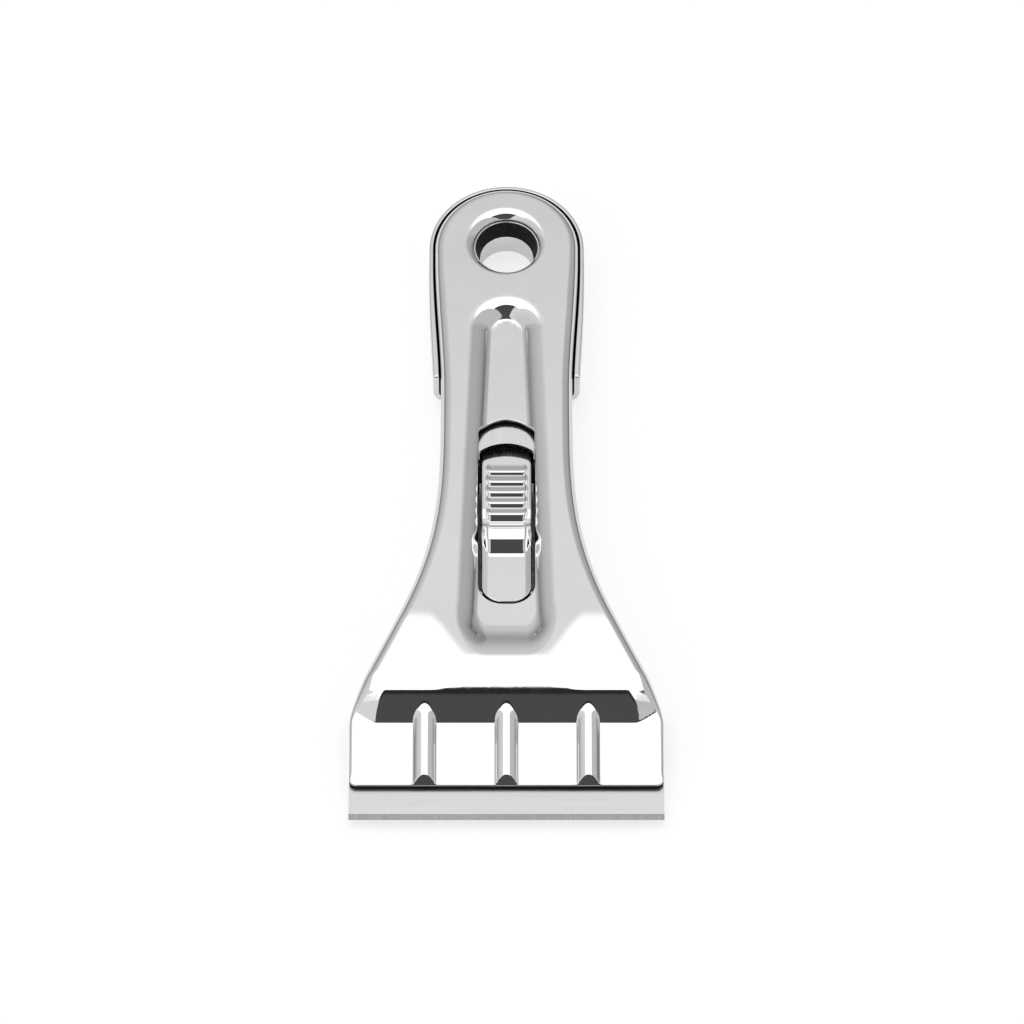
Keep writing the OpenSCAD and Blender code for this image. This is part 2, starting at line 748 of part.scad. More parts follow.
// Blade: cut rear corners, two stud holes and a bevel ground on both faces
module blade() {
    corner_slope = 0.9;
    rear_half = blade_w / 2 - (blade_depth - blade_shoulder) * corner_slope;
    edge_t = 0.04;
    color("darkgray") placed() difference() {
        intersection() {
            translate([0, 0, blade_z]) linear_extrude(blade_t) polygon([
                [-blade_w / 2, 0], [blade_w / 2, 0], [blade_w / 2, blade_shoulder], [rear_half, blade_depth],
                [-rear_half, blade_depth], [-blade_w / 2, blade_shoulder]]);
            across(blade_w + cut, [
                [0, blade_z + (blade_t - edge_t) / 2], [bevel_w, blade_z], [blade_depth, blade_z],
                [blade_depth, blade_top], [bevel_w, blade_top], [0, blade_z + (blade_t + edge_t) / 2]]);
        }
        for (side = [-1, 1])
            upright(side * stud_pitch / 2, stud_s, stud_d / 2 + turn_gap, blade_z - cut, blade_top + cut);
    }
}

// Clamp plate: lies on the blade and steps down to the carrier behind it
module blade_clamp() {
    step_gap = 0.2;
    step_run = 0.4;
    bend = 0.1;
    step_s = blade_depth + step_gap;
    low = blade_z;
    color("dimgray") placed() difference() {
        across(clamp_w, [
            [clamp_front, blade_top], [step_s, blade_top], [step_s + step_run, low], [clamp_rear, low],
            [clamp_rear, low + spring_t], [step_s + step_run + bend, low + spring_t],
            [step_s + bend, blade_top + spring_t], [clamp_front, blade_top + spring_t]]);
        for (side = [-1, 1]) {
            upright(side * stud_pitch / 2, stud_s, stud_d / 2 + turn_gap, low, blade_top + cut);
            upright(side * clamp_rivet_x, clamp_rivet_s, rivet_hole_r, low - cut, low + cut);
        }
    }
}

module blade_studs() {
    tip = 0.3;
    top = blade_top + spring_t + tip;
    color("gray") placed() for (side = [-1, 1])
        translate([side * stud_pitch / 2, stud_s, 0]) rotate_extrude() polygon([
            [0, seat_z], [stud_d / 2, seat_z], [stud_d / 2, top - tip], [stud_d / 2 - tip, top], [0, top]]);
}

// A pair of rivets: a shank and a round head on its upper end, or on both ends
module rivet_pair(x, s, z0, z1, foot_t) {
    for (side = [-1, 1]) translate([side * x, s, 0]) rotate_extrude() polygon(concat(
        foot_t > 0
            ? [[0, z0 - foot_t], [rivet_head_r, z0 - foot_t], [rivet_head_r, z0], [rivet_d / 2, z0]]
            : [[0, z0], [rivet_d / 2, z0]],
        [[rivet_d / 2, z1], [rivet_head_r, z1], [rivet_head_r, z1 + rivet_head_t / 2],
            [rivet_head_r / 2, z1 + rivet_head_t], [0, z1 + rivet_head_t]]));
}

module clamp_rivets() {
    color("gray") placed() rivet_pair(clamp_rivet_x, clamp_rivet_s, seat_z, blade_z + spring_t, 0);
}

module spring_rivets() {
    color("gray") placed()
        rivet_pair(spring_rivet_x, spring_rivet_s, strip_h - spring_t, strip_h + carrier_t, rivet_head_t);
}

module detent_rivets() {
    color("gray") placed()
        rivet_pair(spring_rivet_x, detent_rivet_s, strip_h - spring_t, strip_h + carrier_t, rivet_head_t);
}

// Thumb button

module button_plan() {
    arched_strip(button_w, button_front, button_rear, button_front_r, button_arch_r, button_end_r);
}

// Places of the fine ridges, counted forward from the one nearest the head
function ridge_s(k) = button_rear - ridge_inset - k * ridge_pitch;

module ridges() {
    root_z = pad_h - ridge_root;
    rear_s = button_rear - ridge_rear;
    shoulder_z = grip_h + bump_h * bump_shoulder;
    across(ridge_w, concat(
        [[bump_s - bump_front, root_z], [rear_s, root_z], [rear_s, grip_h]],
        [for (k = [0:ridge_count - 1], p = ridge_profile)
            [ridge_s(k) + p[0] * ridge_half, grip_h + p[1] * ridge_h]],
        [[bump_s + bump_rear, grip_h], [bump_s + bump_half, shoulder_z], [bump_s, grip_h + bump_h],
            [bump_s - bump_half, shoulder_z]]));
}

module thumb_button() {
    color("whitesmoke") placed() difference() {
        union() {
            intersection() {
                translate([0, 0, skirt_z]) linear_extrude(body_h) button_plan();
                across(button_w + cut, concat(
                    [[button_front - cut, skirt_z], [button_rear + cut, skirt_z]],
                    [for (p = rear_round) [button_rear - p[0], grip_h - p[1]]],
                    [[button_front + pad_len + rise_len, grip_h], [button_front + pad_len, pad_h],
                        [button_front - cut, pad_h]]));
            }
            ridges();
            both_sides() translate([button_w / 2 - stop_root, button_rear - stop_inset, pocket_z - stop_h])
                cube([stop_out + stop_root, stop_len, stop_h]);
        }
        translate([-pocket_w / 2, button_front + button_t, skirt_z - cut])
            cube([pocket_w, pocket_len, pocket_z - skirt_z + cut]);
        translate([-button_w, pin_s, pin_z]) rotate([0, 90, 0])
            cylinder(r = pin_d / 2 + turn_gap, h = 2 * button_w);
    }
}

module button_pin() {
    pin_len = 2 * (ear_x + ear_t);
    color("gray") placed() translate([-pin_len / 2, pin_s, pin_z]) rotate([0, 90, 0])
        cylinder(d = pin_d, h = pin_len);
}

// Leaf spring under the button: flat root under the strip, then up to the button's underside
module button_spring() {
    root_z = strip_h - spring_t;
    bend_lead = 0.5;
    touch_inset = 6;
    tip_len = 2;
    tip_drop = 0.3;
    touch = [button_rear - touch_inset, pocket_z - seat_gap - spring_t];
    line = [[spring_rivet_s - spring_root, root_z], [window_front + bend_lead, root_z], touch,
        touch + [tip_len, -tip_drop]];
    last = len(line) - 1;
    color("dimgray") placed() difference() {
        across(spring_w, concat(line, [for (k = [last:-1:0]) line[k] + [0, spring_t]]));
        for (side = [-1, 1])
            upright(side * spring_rivet_x, spring_rivet_s, rivet_hole_r, root_z - cut, strip_h + cut);
    }
}

// Leaf spring of the detent: root under the strip, then down to a dimple over the lower shell's hole
module detent_spring() {
    root_z = strip_h - spring_t;
    low_z = sheet_t + slide_gap;
    line = [[strip_rear - spring_root, root_z], [detent_root, root_z],
        [detent_s + dimple_half, low_z + dimple_rise], [detent_s, low_z],
        [detent_s - dimple_half, low_z + dimple_rise], [detent_s - toe_len, low_z + toe_rise]];
    last = len(line) - 1;
    color("dimgray") placed() difference() {
        across(detent_w, concat(line, [for (k = [last:-1:0]) line[k] + [0, spring_t]]));
        for (side = [-1, 1])
            upright(side * spring_rivet_x, detent_rivet_s, rivet_hole_r, root_z - cut, strip_h + cut);
    }
}

upper_shell();
lower_shell();
hanging_eyelet();
blade_carrier();
blade();
blade_clamp();
blade_studs();
clamp_rivets();
thumb_button();
button_pin();
button_spring();
spring_rivets();
detent_spring();
detent_rivets();
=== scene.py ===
"""Looks of the razor blade scraper: plated shells, satin blade, studio light and camera.

Shapes are worked out in millimetres with s, the distance from the cutting edge, along the tool,
and are turned into metres in the frame's own axes when a mesh is made.
"""
import math

import bmesh
import bpy
import numpy as np
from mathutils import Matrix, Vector, geometry


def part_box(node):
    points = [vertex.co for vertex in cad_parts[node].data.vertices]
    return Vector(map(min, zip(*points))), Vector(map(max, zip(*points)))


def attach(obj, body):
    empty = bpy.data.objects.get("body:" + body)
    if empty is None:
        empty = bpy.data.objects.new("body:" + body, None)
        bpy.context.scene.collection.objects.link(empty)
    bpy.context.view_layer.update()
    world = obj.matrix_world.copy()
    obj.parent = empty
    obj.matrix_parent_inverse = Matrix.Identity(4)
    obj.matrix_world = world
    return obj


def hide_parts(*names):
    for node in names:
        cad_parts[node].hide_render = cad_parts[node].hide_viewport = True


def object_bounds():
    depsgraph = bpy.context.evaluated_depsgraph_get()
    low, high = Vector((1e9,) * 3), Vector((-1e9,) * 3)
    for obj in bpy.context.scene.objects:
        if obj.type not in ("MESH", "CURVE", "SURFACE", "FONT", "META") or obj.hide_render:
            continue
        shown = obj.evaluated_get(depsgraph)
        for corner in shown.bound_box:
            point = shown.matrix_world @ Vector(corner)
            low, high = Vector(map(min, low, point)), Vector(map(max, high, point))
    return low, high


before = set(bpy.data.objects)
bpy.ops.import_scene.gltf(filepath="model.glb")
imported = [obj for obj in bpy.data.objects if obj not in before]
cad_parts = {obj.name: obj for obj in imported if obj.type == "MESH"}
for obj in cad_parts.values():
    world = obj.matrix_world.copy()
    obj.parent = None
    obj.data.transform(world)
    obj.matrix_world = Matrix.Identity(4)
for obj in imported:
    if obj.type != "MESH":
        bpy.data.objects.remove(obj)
cad_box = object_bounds()

MM = 0.001

# Overall sizes, from the frame
EDGE_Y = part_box("blade")[0].y
HEAD_END = (cad_box[1].y - EDGE_Y) / MM
FRONT_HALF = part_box("upper_shell")[1].x / MM
TOP_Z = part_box("upper_shell")[1].z / MM
FRONT_S = (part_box("upper_shell")[0].y - EDGE_Y) / MM

# Sheet and body
SHEET = 0.6
HEAD_R = 9.2
HEAD_S = HEAD_END - 9.95
UPPER_HEAD_S = HEAD_S - 0.4
WAIST_HALF = 8.35
FLARE_END = HEAD_S - 23.05
SHOULDER_S = HEAD_S - 2.5
FLARE_LEAD = 0.3
FLARE_BEND = 1.45
FLARE_FALL = 4
HANDLE_EDGE_R = 1.5
EDGE_RUN = 5.0
HEAD_EDGE_R = 1.25
HEAD_EDGE_S = HEAD_S - 8
HEAD_EDGE_RUN = 8.0
FOOT_R = 0.12
INNER_EDGE_R = 0.05
CEILING_BEND = 0.4

# Front plate, slope and brow
CORNER_R = 1.0
FRONT_H = 2.35
PLATE_LEN = 8.3
PLATE_SLOPE = math.tan(math.radians(9))
PLATE_EDGE_R = 0.5
FRONT_EDGE_R = 0.14
FRONT_EDGE_RUN = 2.0
FRONT_SHADE = 0.7
CREASE_S = FRONT_S + PLATE_LEN
CREASE_Z = FRONT_H + PLATE_LEN * PLATE_SLOPE
CREASE_SOFT = 0.1
SLOPE_LEN = 6.5
SLOPE_START = math.tan(math.radians(34))
SLOPE_BEND = (SLOPE_START - (TOP_Z - CREASE_Z) / SLOPE_LEN) / SLOPE_LEN
SLOPE_END = SLOPE_START - 2 * SLOPE_BEND * SLOPE_LEN
BROW_S = CREASE_S + SLOPE_LEN + 2
BROW_MID = 0.55
BROW_SIDE = 0.2
DROOP_SLOPE = math.tan(math.radians(4.9))
DROOP_SOFT = 1.0
DROOP_MID_S = BROW_S - 0.8
DROOP_SIDE_S = BROW_S + 5.6
DROOP_X = 4.0
DROOP_RUN = 6.0
SHOULDER_W = 3.3
SHOULDER_TILT = 0.24
SHOULDER_SOFT = 0.3
SHOULDER_END = 0.6
SHOULDER_FADE_S = CREASE_S + 3.0
SHOULDER_FADE = 3.2

# Ribs
RIB_PITCH = 10.15
RIB_PLACES = (-RIB_PITCH, 0, RIB_PITCH)
RIB_W = 2.86
RIB_H = 0.8
RIB_INSET = 0.1
RIB_SOFT = 0.07
RIB_END_SOFT = 0.35
RIB_BAR_R = (RIB_W ** 2 / 4 + RIB_H ** 2) / 2 / RIB_H
RIB_END_TILT = 0.9
RIB_NOSE_SOFT = 0.1
RIB_SIDE_TILT = 2.0
FAR_BELOW = -100.0

# Skirts and the windows for the clips
SKIRT_FRONT = 14.2
SKIRT_DOWN = 1.3
SKIRT_LIFT = 1.7
CLIP_PLACES = (27.0, 49.0)
CATCH_LEN = 3.0
CATCH_H = 0.8
CATCH_Z = 1.9
CATCH_OUT = 0.3
SLIDE_GAP = 0.15
WINDOW_HALF = CATCH_LEN / 2 + SLIDE_GAP
WINDOW_LOW = CATCH_Z - SLIDE_GAP
WINDOW_HIGH = CATCH_Z + CATCH_H + SLIDE_GAP
WINDOW_FADE = 3.0
LOWER_THIRD = 0.33
UPPER_THIRD = 0.67

# Channel, slot and hanging hole
CHANNEL_DEPTH = 1.4
CHANNEL_RUN = 3.05
CHANNEL_BEND = 0.8
CHANNEL_FRONT_BEND = 0.57
CHANNEL_SOFT = 0.55
CHANNEL_CORNER_R = 4.2
CHANNEL_FRONT_HALF = 6.6
CHANNEL_REAR_HALF = 4.95
CHANNEL_FRONT_S = 20.6
CHANNEL_FRONT_C = CHANNEL_FRONT_S + CHANNEL_CORNER_R / CHANNEL_SOFT
CHANNEL_REAR_C = HEAD_S - 8.45 - CHANNEL_REAR_HALF
SLOT_HALF = 3.55
SLOT_FRONT = 29.4
SLOT_REAR = 57.2
SLOT_R = 3.0
SLOT_ARCH_R = 4.1
SLOT_END_R = 1.2
SLOT_EDGE_R = 0.16
SLOT_BURR = 0.06
LIP_HOLE_R = 4.06
LIP_ROLL_R = 2.1
LIP_NEAR_ROLL_R = 0.7
LIP_NEAR_GROW = 0.65
LIP_SHADE = 0.45
LIP_SHADE_NEAR = 0.8
LIP_SKEW = math.radians(20)
LIP_TURN = math.radians(47)
LIP_NOSE = 0.07

# Lower shell
WALL_H = 5.4
WALL_END = HEAD_S - 20.25
WALL_GAP = 0.24
WALL_OUT = 0.94
WALL_HEAD_OUT = 0.74
WALL_TURN_S = HEAD_S - 16
WALL_TURN = 16.0
WALL_EDGE_R = 0.2
WALL_INNER_EDGE_R = 0.08
WALL_CORNER_R = 0.25
WALL_FOOT = 1.45
WALL_FOOT_RUN = 0.6
WALL_INNER_FACES = 7
BEND_R = 2.0
FLOOR_INSET = 0.5
FLOOR_STEP = 1.0
FLOOR_SOFT = 0.15
HOLE_BURR = 0.06
FLOOR_HOLE_R = 3.95
DISH_RISE = 0.5
DISH_R = 5.25
DISH_FOOT_R = 6.35
DETENT_R = 1.0
DETENT_PLACES = (50.2, 55.4)
SEAT_GAP = 0.05
CLIP_LEN = 5.0
CLIP_H = 3.0
STRIP_HALF = 5.6
LUG_PLACES = (40.0, 59.0)
LUG_LEN = 3.5
LUG_T = 0.6
LUG_H = 3.5

# Eyelet
EYELET_BORE_R = 3.4
EYELET_T = 0.36
EYELET_TOP_R = 3.98
EYELET_TOP_Z = 5.67
EYELET_SOFT = 0.1
FLANGE_R = 4.85
EYELET_FLARE_Z = 3.1
EYELET_FLARE_BEND = 0.45

# Thumb button
BUTTON_HALF = 3.12
BUTTON_FRONT = 29.5
BUTTON_REAR = 51.3
BUTTON_FRONT_R = 2.6
BUTTON_ARCH_R = 7.0
BUTTON_END_R = 0.75
BUTTON_EDGE_R = 0.25
BUTTON_FRONT_EDGE_R = 0.14
BUTTON_EDGE_LEAD = 1.0
BUTTON_EDGE_RUN = 3.0
BUTTON_FOOT_R = 0.08
BUTTON_SKIRT_Z = 3.2
BUTTON_T = 0.6
PAD_Z = 5.6
PAD_FLAT_HALF = 2.35
PAD_BEVEL = math.tan(math.radians(14))
PAD_SOFT = 0.1
BUMP_FOOT_S = 36.55
BUMP_FRONT_S = 38.08
BUMP_Z = 6.75
BUMP_FRONT_TILT = (BUMP_Z - PAD_Z) / (BUMP_FRONT_S - BUMP_FOOT_S)
BUMP_TOP_TILT = 0.19
BUMP_LEN = 1.5
BUMP_REAR_TILT = 1.6
BUMP_SOFT = 0.08
BUMP_FOOT_SOFT = 0.3
RIDGE_FOOT_SOFT = 0.06
RIDGE_COUNT = 5
RIDGE_PITCH = 1.6
RIDGE_FRONT_S = 42.2
RIDGE_PEAK_Z = 6.53
RIDGE_PEAK = 2.3
RIDGE_FALL = 0.03
RIDGE_FRONT_TILT = 0.85
RIDGE_REAR_TILT = 0.35
RIDGE_SOFT = 0.36
RIDGE_HALF_LEN = 2.43
END_TILT = 1.6
END_SOFT = 0.2
END_TURN = 0.9
END_TURN_X = 1.9
VALLEY_S = 41.2
VALLEY_Z = 5.72
VALLEY_TILT = 0.38
GRIP_S = 41.9
GRIP_RUN = 1.2
GRIP_RISE = 0.33
STOP_OUT = 0.9
STOP_LEN = 2.5
STOP_H = 0.45
STOP_INSET = 3.3

# Blade and carrier: spans across the edge are shares of the bevel's width
BEVEL_W = 0.8
BEVEL_SPAN = (0.97, 1.03)
# Where the painted highlight lies behind the bevel.
HIGHLIGHT_SPAN = (1.12, 1.2)
# The carrier is painted dark as shade in front of this distance from the edge.
PAINTED_SHADE_END_S = 51

# Meshing: distances between points, their distance from edges, and the middle of a small round
FINE_STEP = 0.16
MIDDLE_STEP = 0.26
COARSE_STEP = 0.5
CEILING_STEP = 0.8
PAN_STEP = 0.6
BUTTON_STEP = 0.11
EDGE_CLEAR = 0.09
MERGE = 1e-6
SLIVER = 0.01
ROUND_SHARE = 0.3
LEVEL = 0.001
RIB_MARGIN = 0.4
RIB_BEHIND = 3.0
CREASE_MARGIN = 0.6
BROW_MARGIN = 1.0

# Finishes on one mesh: the plated outside, faces painted near-black as shade, and the dull inside of the
# pan
BRIGHT = 0
PAINTED_SHADE = 1
DULL = 2

# Materials: the part of a noise's range that is used, and marks along the tool with their depth in metres
NOISE_SPAN = (0.3, 0.7)
LONG_MARKS = (1, 0.05, 1)
MARK_DEPTH = 9e-7

# Light: levels, and angles in degrees over the object from the far horizon and to its sides
BASE_LEVEL = 0.34
FAR_LEVEL = 0.6
FAR_CLIMB = (0, 50)
FAR_RISE = 0.13
FAR_RISE_SPAN = (52, 57)
RIGHT_SHARE = 0.7
RIGHT_SPAN = (4, 32)
RIGHT_EDGE_DROP = 0.42
RIGHT_EDGE_SPAN = (72, 88)
LEFT_DROP = 0.18
LEFT_SPAN = (-60, -6)
LEFT_EDGE_DROP = 0.2
LEFT_EDGE_SPAN = (-88, -60)
BOX_LEVEL = 1.18
BOX_START = 62
BOX_START_SOFT = 5
BOX_END = 105
BOX_END_SOFT = 0.6
BOX_HALF = 26
BOX_SIDE_SOFT = 0.7
DARK_LEVEL = 0.066
DARK_EDGE = 0.02
DARK_EDGE_SPAN = (BOX_END + 3.5, BOX_END + 5.5)
DARK_END = 168
DARK_END_SOFT = 3
DARK_SIDES = (-17, 25)
DARK_SIDE_SOFT = 1.5

# Floor and camera, in metres and degrees
FLOOR_HALF = 1.5
FLOOR_TINT = 0.62
FLOOR_GLOW = 0.64
MIRRORED_GLOW = 0.36
CAMERA_LENS = 280.8
CAMERA_SENSOR = 36
CAMERA_NEAR = 0.01
CAMERA_PLACE = (0.00069, -0.5663, 0.8392)
CAMERA_TILT = 34


# Shape functions

def smooth(t):
    c = np.clip(t, 0, 1)
    return c * c * (3 - 2 * c)


def mix(a, b, t):
    return a + (b - a) * t


def soft_max(a, b, reach):
    """The larger of two heights, with a fillet where they cross."""
    h = np.clip(0.5 + 0.5 * (b - a) / reach, 0, 1)
    return mix(a, b, h) + reach * h * (1 - h)


def soft_min(a, b, reach):
    return -soft_max(-a, -b, reach)


def soft_positive(d, reach):
    """Zero below, d above, and a curve between over twice the reach."""
    return np.where(d < reach, np.maximum(d + reach, 0) ** 2 / 4 / reach, d)


def turns(end, n):
    """Angles in radians from zero to an end in degrees."""
    return np.radians(np.linspace(0, end, n))


def half_width(s):
    """Half width of the upper shell between its front corners and the head's centre."""
    start = CREASE_S + FLARE_LEAD
    u = np.clip((s - start) / (FLARE_END - start), 0, 1)
    flare = mix(WAIST_HALF, FRONT_HALF, (1 - u ** FLARE_BEND) ** FLARE_FALL)
    neck = mix(WAIST_HALF, HEAD_R, smooth((s - FLARE_END) / (SHOULDER_S - FLARE_END)))
    return np.where(s < FLARE_END, flare, neck)


def plate_z(s):
    return FRONT_H + (s - FRONT_S) * PLATE_SLOPE


def slope_z(s):
    """Slope behind the crease, curved until it reaches the handle's level and straight beyond."""
    u = s - CREASE_S
    curve = CREASE_Z + u * (SLOPE_START - SLOPE_BEND * u)
    return np.where(u < SLOPE_LEN, curve, TOP_Z + (u - SLOPE_LEN) * SLOPE_END)


def side_share(x):
    return smooth((np.abs(x) - DROOP_X) / DROOP_RUN)


def handle_z(x, s):
    """Level handle that droops towards the brow, sooner at its sides."""
    start = mix(DROOP_MID_S, DROOP_SIDE_S, side_share(x))
    return TOP_Z - DROOP_SLOPE * soft_positive(start - s, DROOP_SOFT)


def shoulder_drop(x, s):
    """Drop of the slope near the side edges, where it tilts outwards."""
    near = soft_positive(SHOULDER_W - half_width(s) + np.abs(x), SHOULDER_SOFT)
    near = soft_min(near, SHOULDER_W - SHOULDER_END, SHOULDER_SOFT)
    fade = 1 - smooth((s - SHOULDER_FADE_S) / SHOULDER_FADE)
    return SHOULDER_TILT * near * fade


def body_z(x, s):
    """Tilted plate, slope and handle, without channel and ribs."""
    climb = soft_min(slope_z(s), handle_z(x, s), mix(BROW_MID, BROW_SIDE, side_share(x)))
    climb = climb - shoulder_drop(x, s)
    return np.where(s < CREASE_S + SLOPE_LEN / 2, soft_max(plate_z(s), climb, CREASE_SOFT), climb)


def channel_drop(x, s):
    """Depth of the channel: wide round top edges and a tight foot."""
    c = np.clip(s, CHANNEL_FRONT_C, CHANNEL_REAR_C)
    share = (c - CHANNEL_FRONT_C) / (CHANNEL_REAR_C - CHANNEL_FRONT_C)
    half = mix(CHANNEL_FRONT_HALF, CHANNEL_REAR_HALF, share)
    r = np.where(s > CHANNEL_FRONT_C, half, CHANNEL_CORNER_R)
    ds = np.where(s < c, (c - s) * CHANNEL_SOFT, s - c)
    t = (r - np.hypot(np.maximum(np.abs(x) - half + r, 0), ds)) / CHANNEL_RUN
    t = np.clip(t, 0, 1)
    bend = mix(CHANNEL_BEND, CHANNEL_FRONT_BEND, smooth((CHANNEL_FRONT_C - s) / CHANNEL_RUN))
    foot = 1 - (1 - t) ** 2 / (1 - bend)
    return CHANNEL_DEPTH * np.where(t < bend, t * t / bend, foot)


def from_rib(x):
    """Distance to the nearest rib's middle line."""
    return np.min([np.abs(x - place) for place in RIB_PLACES], axis=0)


def rib_z(x, s):
    """Round bars along the plate, cut off at a slant behind the front edge."""
    d = from_rib(x)
    bulge = np.sqrt(np.maximum(RIB_BAR_R ** 2 - d ** 2, 0)) - RIB_BAR_R + RIB_H
    fall = np.maximum(d - RIB_W / 2, 0) * RIB_SIDE_TILT
    end = RIB_END_TILT * (s - FRONT_S - RIB_INSET)
    return np.where(s < BROW_S, plate_z(s) + soft_min(bulge - fall, end, RIB_NOSE_SOFT), FAR_BELOW)


def top_z(x, s):
    """Height of the upper shell's outer face, without its rounded edges."""
    soft = mix(RIB_SOFT, RIB_END_SOFT, smooth((s - CREASE_S) / RIB_H))
    return soft_max(body_z(x, s) - channel_drop(x, s), rib_z(x, s), soft)


def under_z(x, s):
    return top_z(x, s) - SHEET


def edge_radius(s):
    front = mix(FRONT_EDGE_R, PLATE_EDGE_R, smooth((s - FRONT_S) / FRONT_EDGE_RUN))
    handle = mix(front, HANDLE_EDGE_R, smooth((s - CREASE_S) / EDGE_RUN))
    return mix(handle, HEAD_EDGE_R, smooth((s - HEAD_EDGE_S) / HEAD_EDGE_RUN))


def skirt_bottom(s):
    """Foot of the skirts: over the blade, on the lower shell, and inside the wall's bend."""
    foot = mix(SKIRT_LIFT, SHEET, smooth((s - SKIRT_FRONT) / SKIRT_DOWN))
    return mix(foot, WALL_FOOT, smooth((s - WALL_END) / WALL_FOOT_RUN + 0.5))


# Plan curves: arrays of (x, s), counter-clockwise from above

MIRROR = np.array([-1, 1])
SLOPE_STEP = 0.01


def arc(cx, cs, r, a0, a1, n):
    a = np.radians(np.linspace(a0, a1, n))
    return np.column_stack([cx + r * np.cos(a), cs + r * np.sin(a)])


def circle(n):
    return arc(0, 0, 1, 0, 360, n + 1)[:-1]


def arched_strip(half, s0, s1, front_r, arch_r, end_r, n=14):
    """Strip from s0 to s1 with round corners at the front and an arched rear end."""
    end_x = half - end_r
    end_s = math.sqrt((arch_r - end_r) ** 2 - end_x ** 2)
    turn = math.degrees(math.atan2(end_s, end_x))
    middle = s1 - arch_r
    side = np.linspace(s0 + front_r, middle + end_s, 60)[1:-1]
    right = np.vstack([
        arc(half - front_r, s0 + front_r, front_r, -90, 0, n),
        np.column_stack([np.full(len(side), half), side]),
        arc(end_x, middle + end_s, end_r, 0, turn, n // 2),
        arc(0, middle, arch_r, turn, 90, n)[1:]])
    return np.vstack([right, right[-2::-1] * MIRROR])


def outward(loop):
    """Unit outward normals of a counter-clockwise loop."""
    t = np.roll(loop, -1, axis=0) - np.roll(loop, 1, axis=0)
    n = np.column_stack([t[:, 1], -t[:, 0]])
    return n / np.linalg.norm(n, axis=1)[:, None]


def closed_outline(front_s, head_s, head_r, side_s, side_x):
    """Front edge, round corners, given sides and round head."""
    inner = FRONT_HALF - CORNER_R
    front = np.column_stack([np.linspace(-inner, inner, 90), np.full(90, front_s)])
    corner = arc(inner, front_s + CORNER_R, CORNER_R, -90, 0, 10)[1:]
    side = np.column_stack([side_x, side_s])
    head = arc(0, head_s, head_r, 0, 180, 100)[1:-1]
    return np.vstack([front, corner, side, head, side[::-1] * MIRROR, corner[:-1][::-1] * MIRROR])


def body_outline():
    """Outline of the upper shell in plan, with points at the windows' ends."""
    s = np.linspace(FRONT_S + CORNER_R, UPPER_HEAD_S, 240)[1:]
    ends = [place + turn * WINDOW_HALF for place in CLIP_PLACES for turn in (-1, 1)]
    s = np.sort(np.concatenate([s, ends]))
    return closed_outline(FRONT_S, UPPER_HEAD_S, HEAD_R, s, half_width(s))


def inside(points, loop):
    """Even-odd test of many points against one loop."""
    x, y = points[:, 0], points[:, 1]
    hit = np.zeros(len(points), bool)
    for (x0, y0), (x1, y1) in zip(loop, np.roll(loop, -1, axis=0)):
        if y0 == y1:
            continue
        cross = ((y0 > y) != (y1 > y)) & (x < x0 + (y - y0) * (x1 - x0) / (y1 - y0))
        hit ^= cross
    return hit


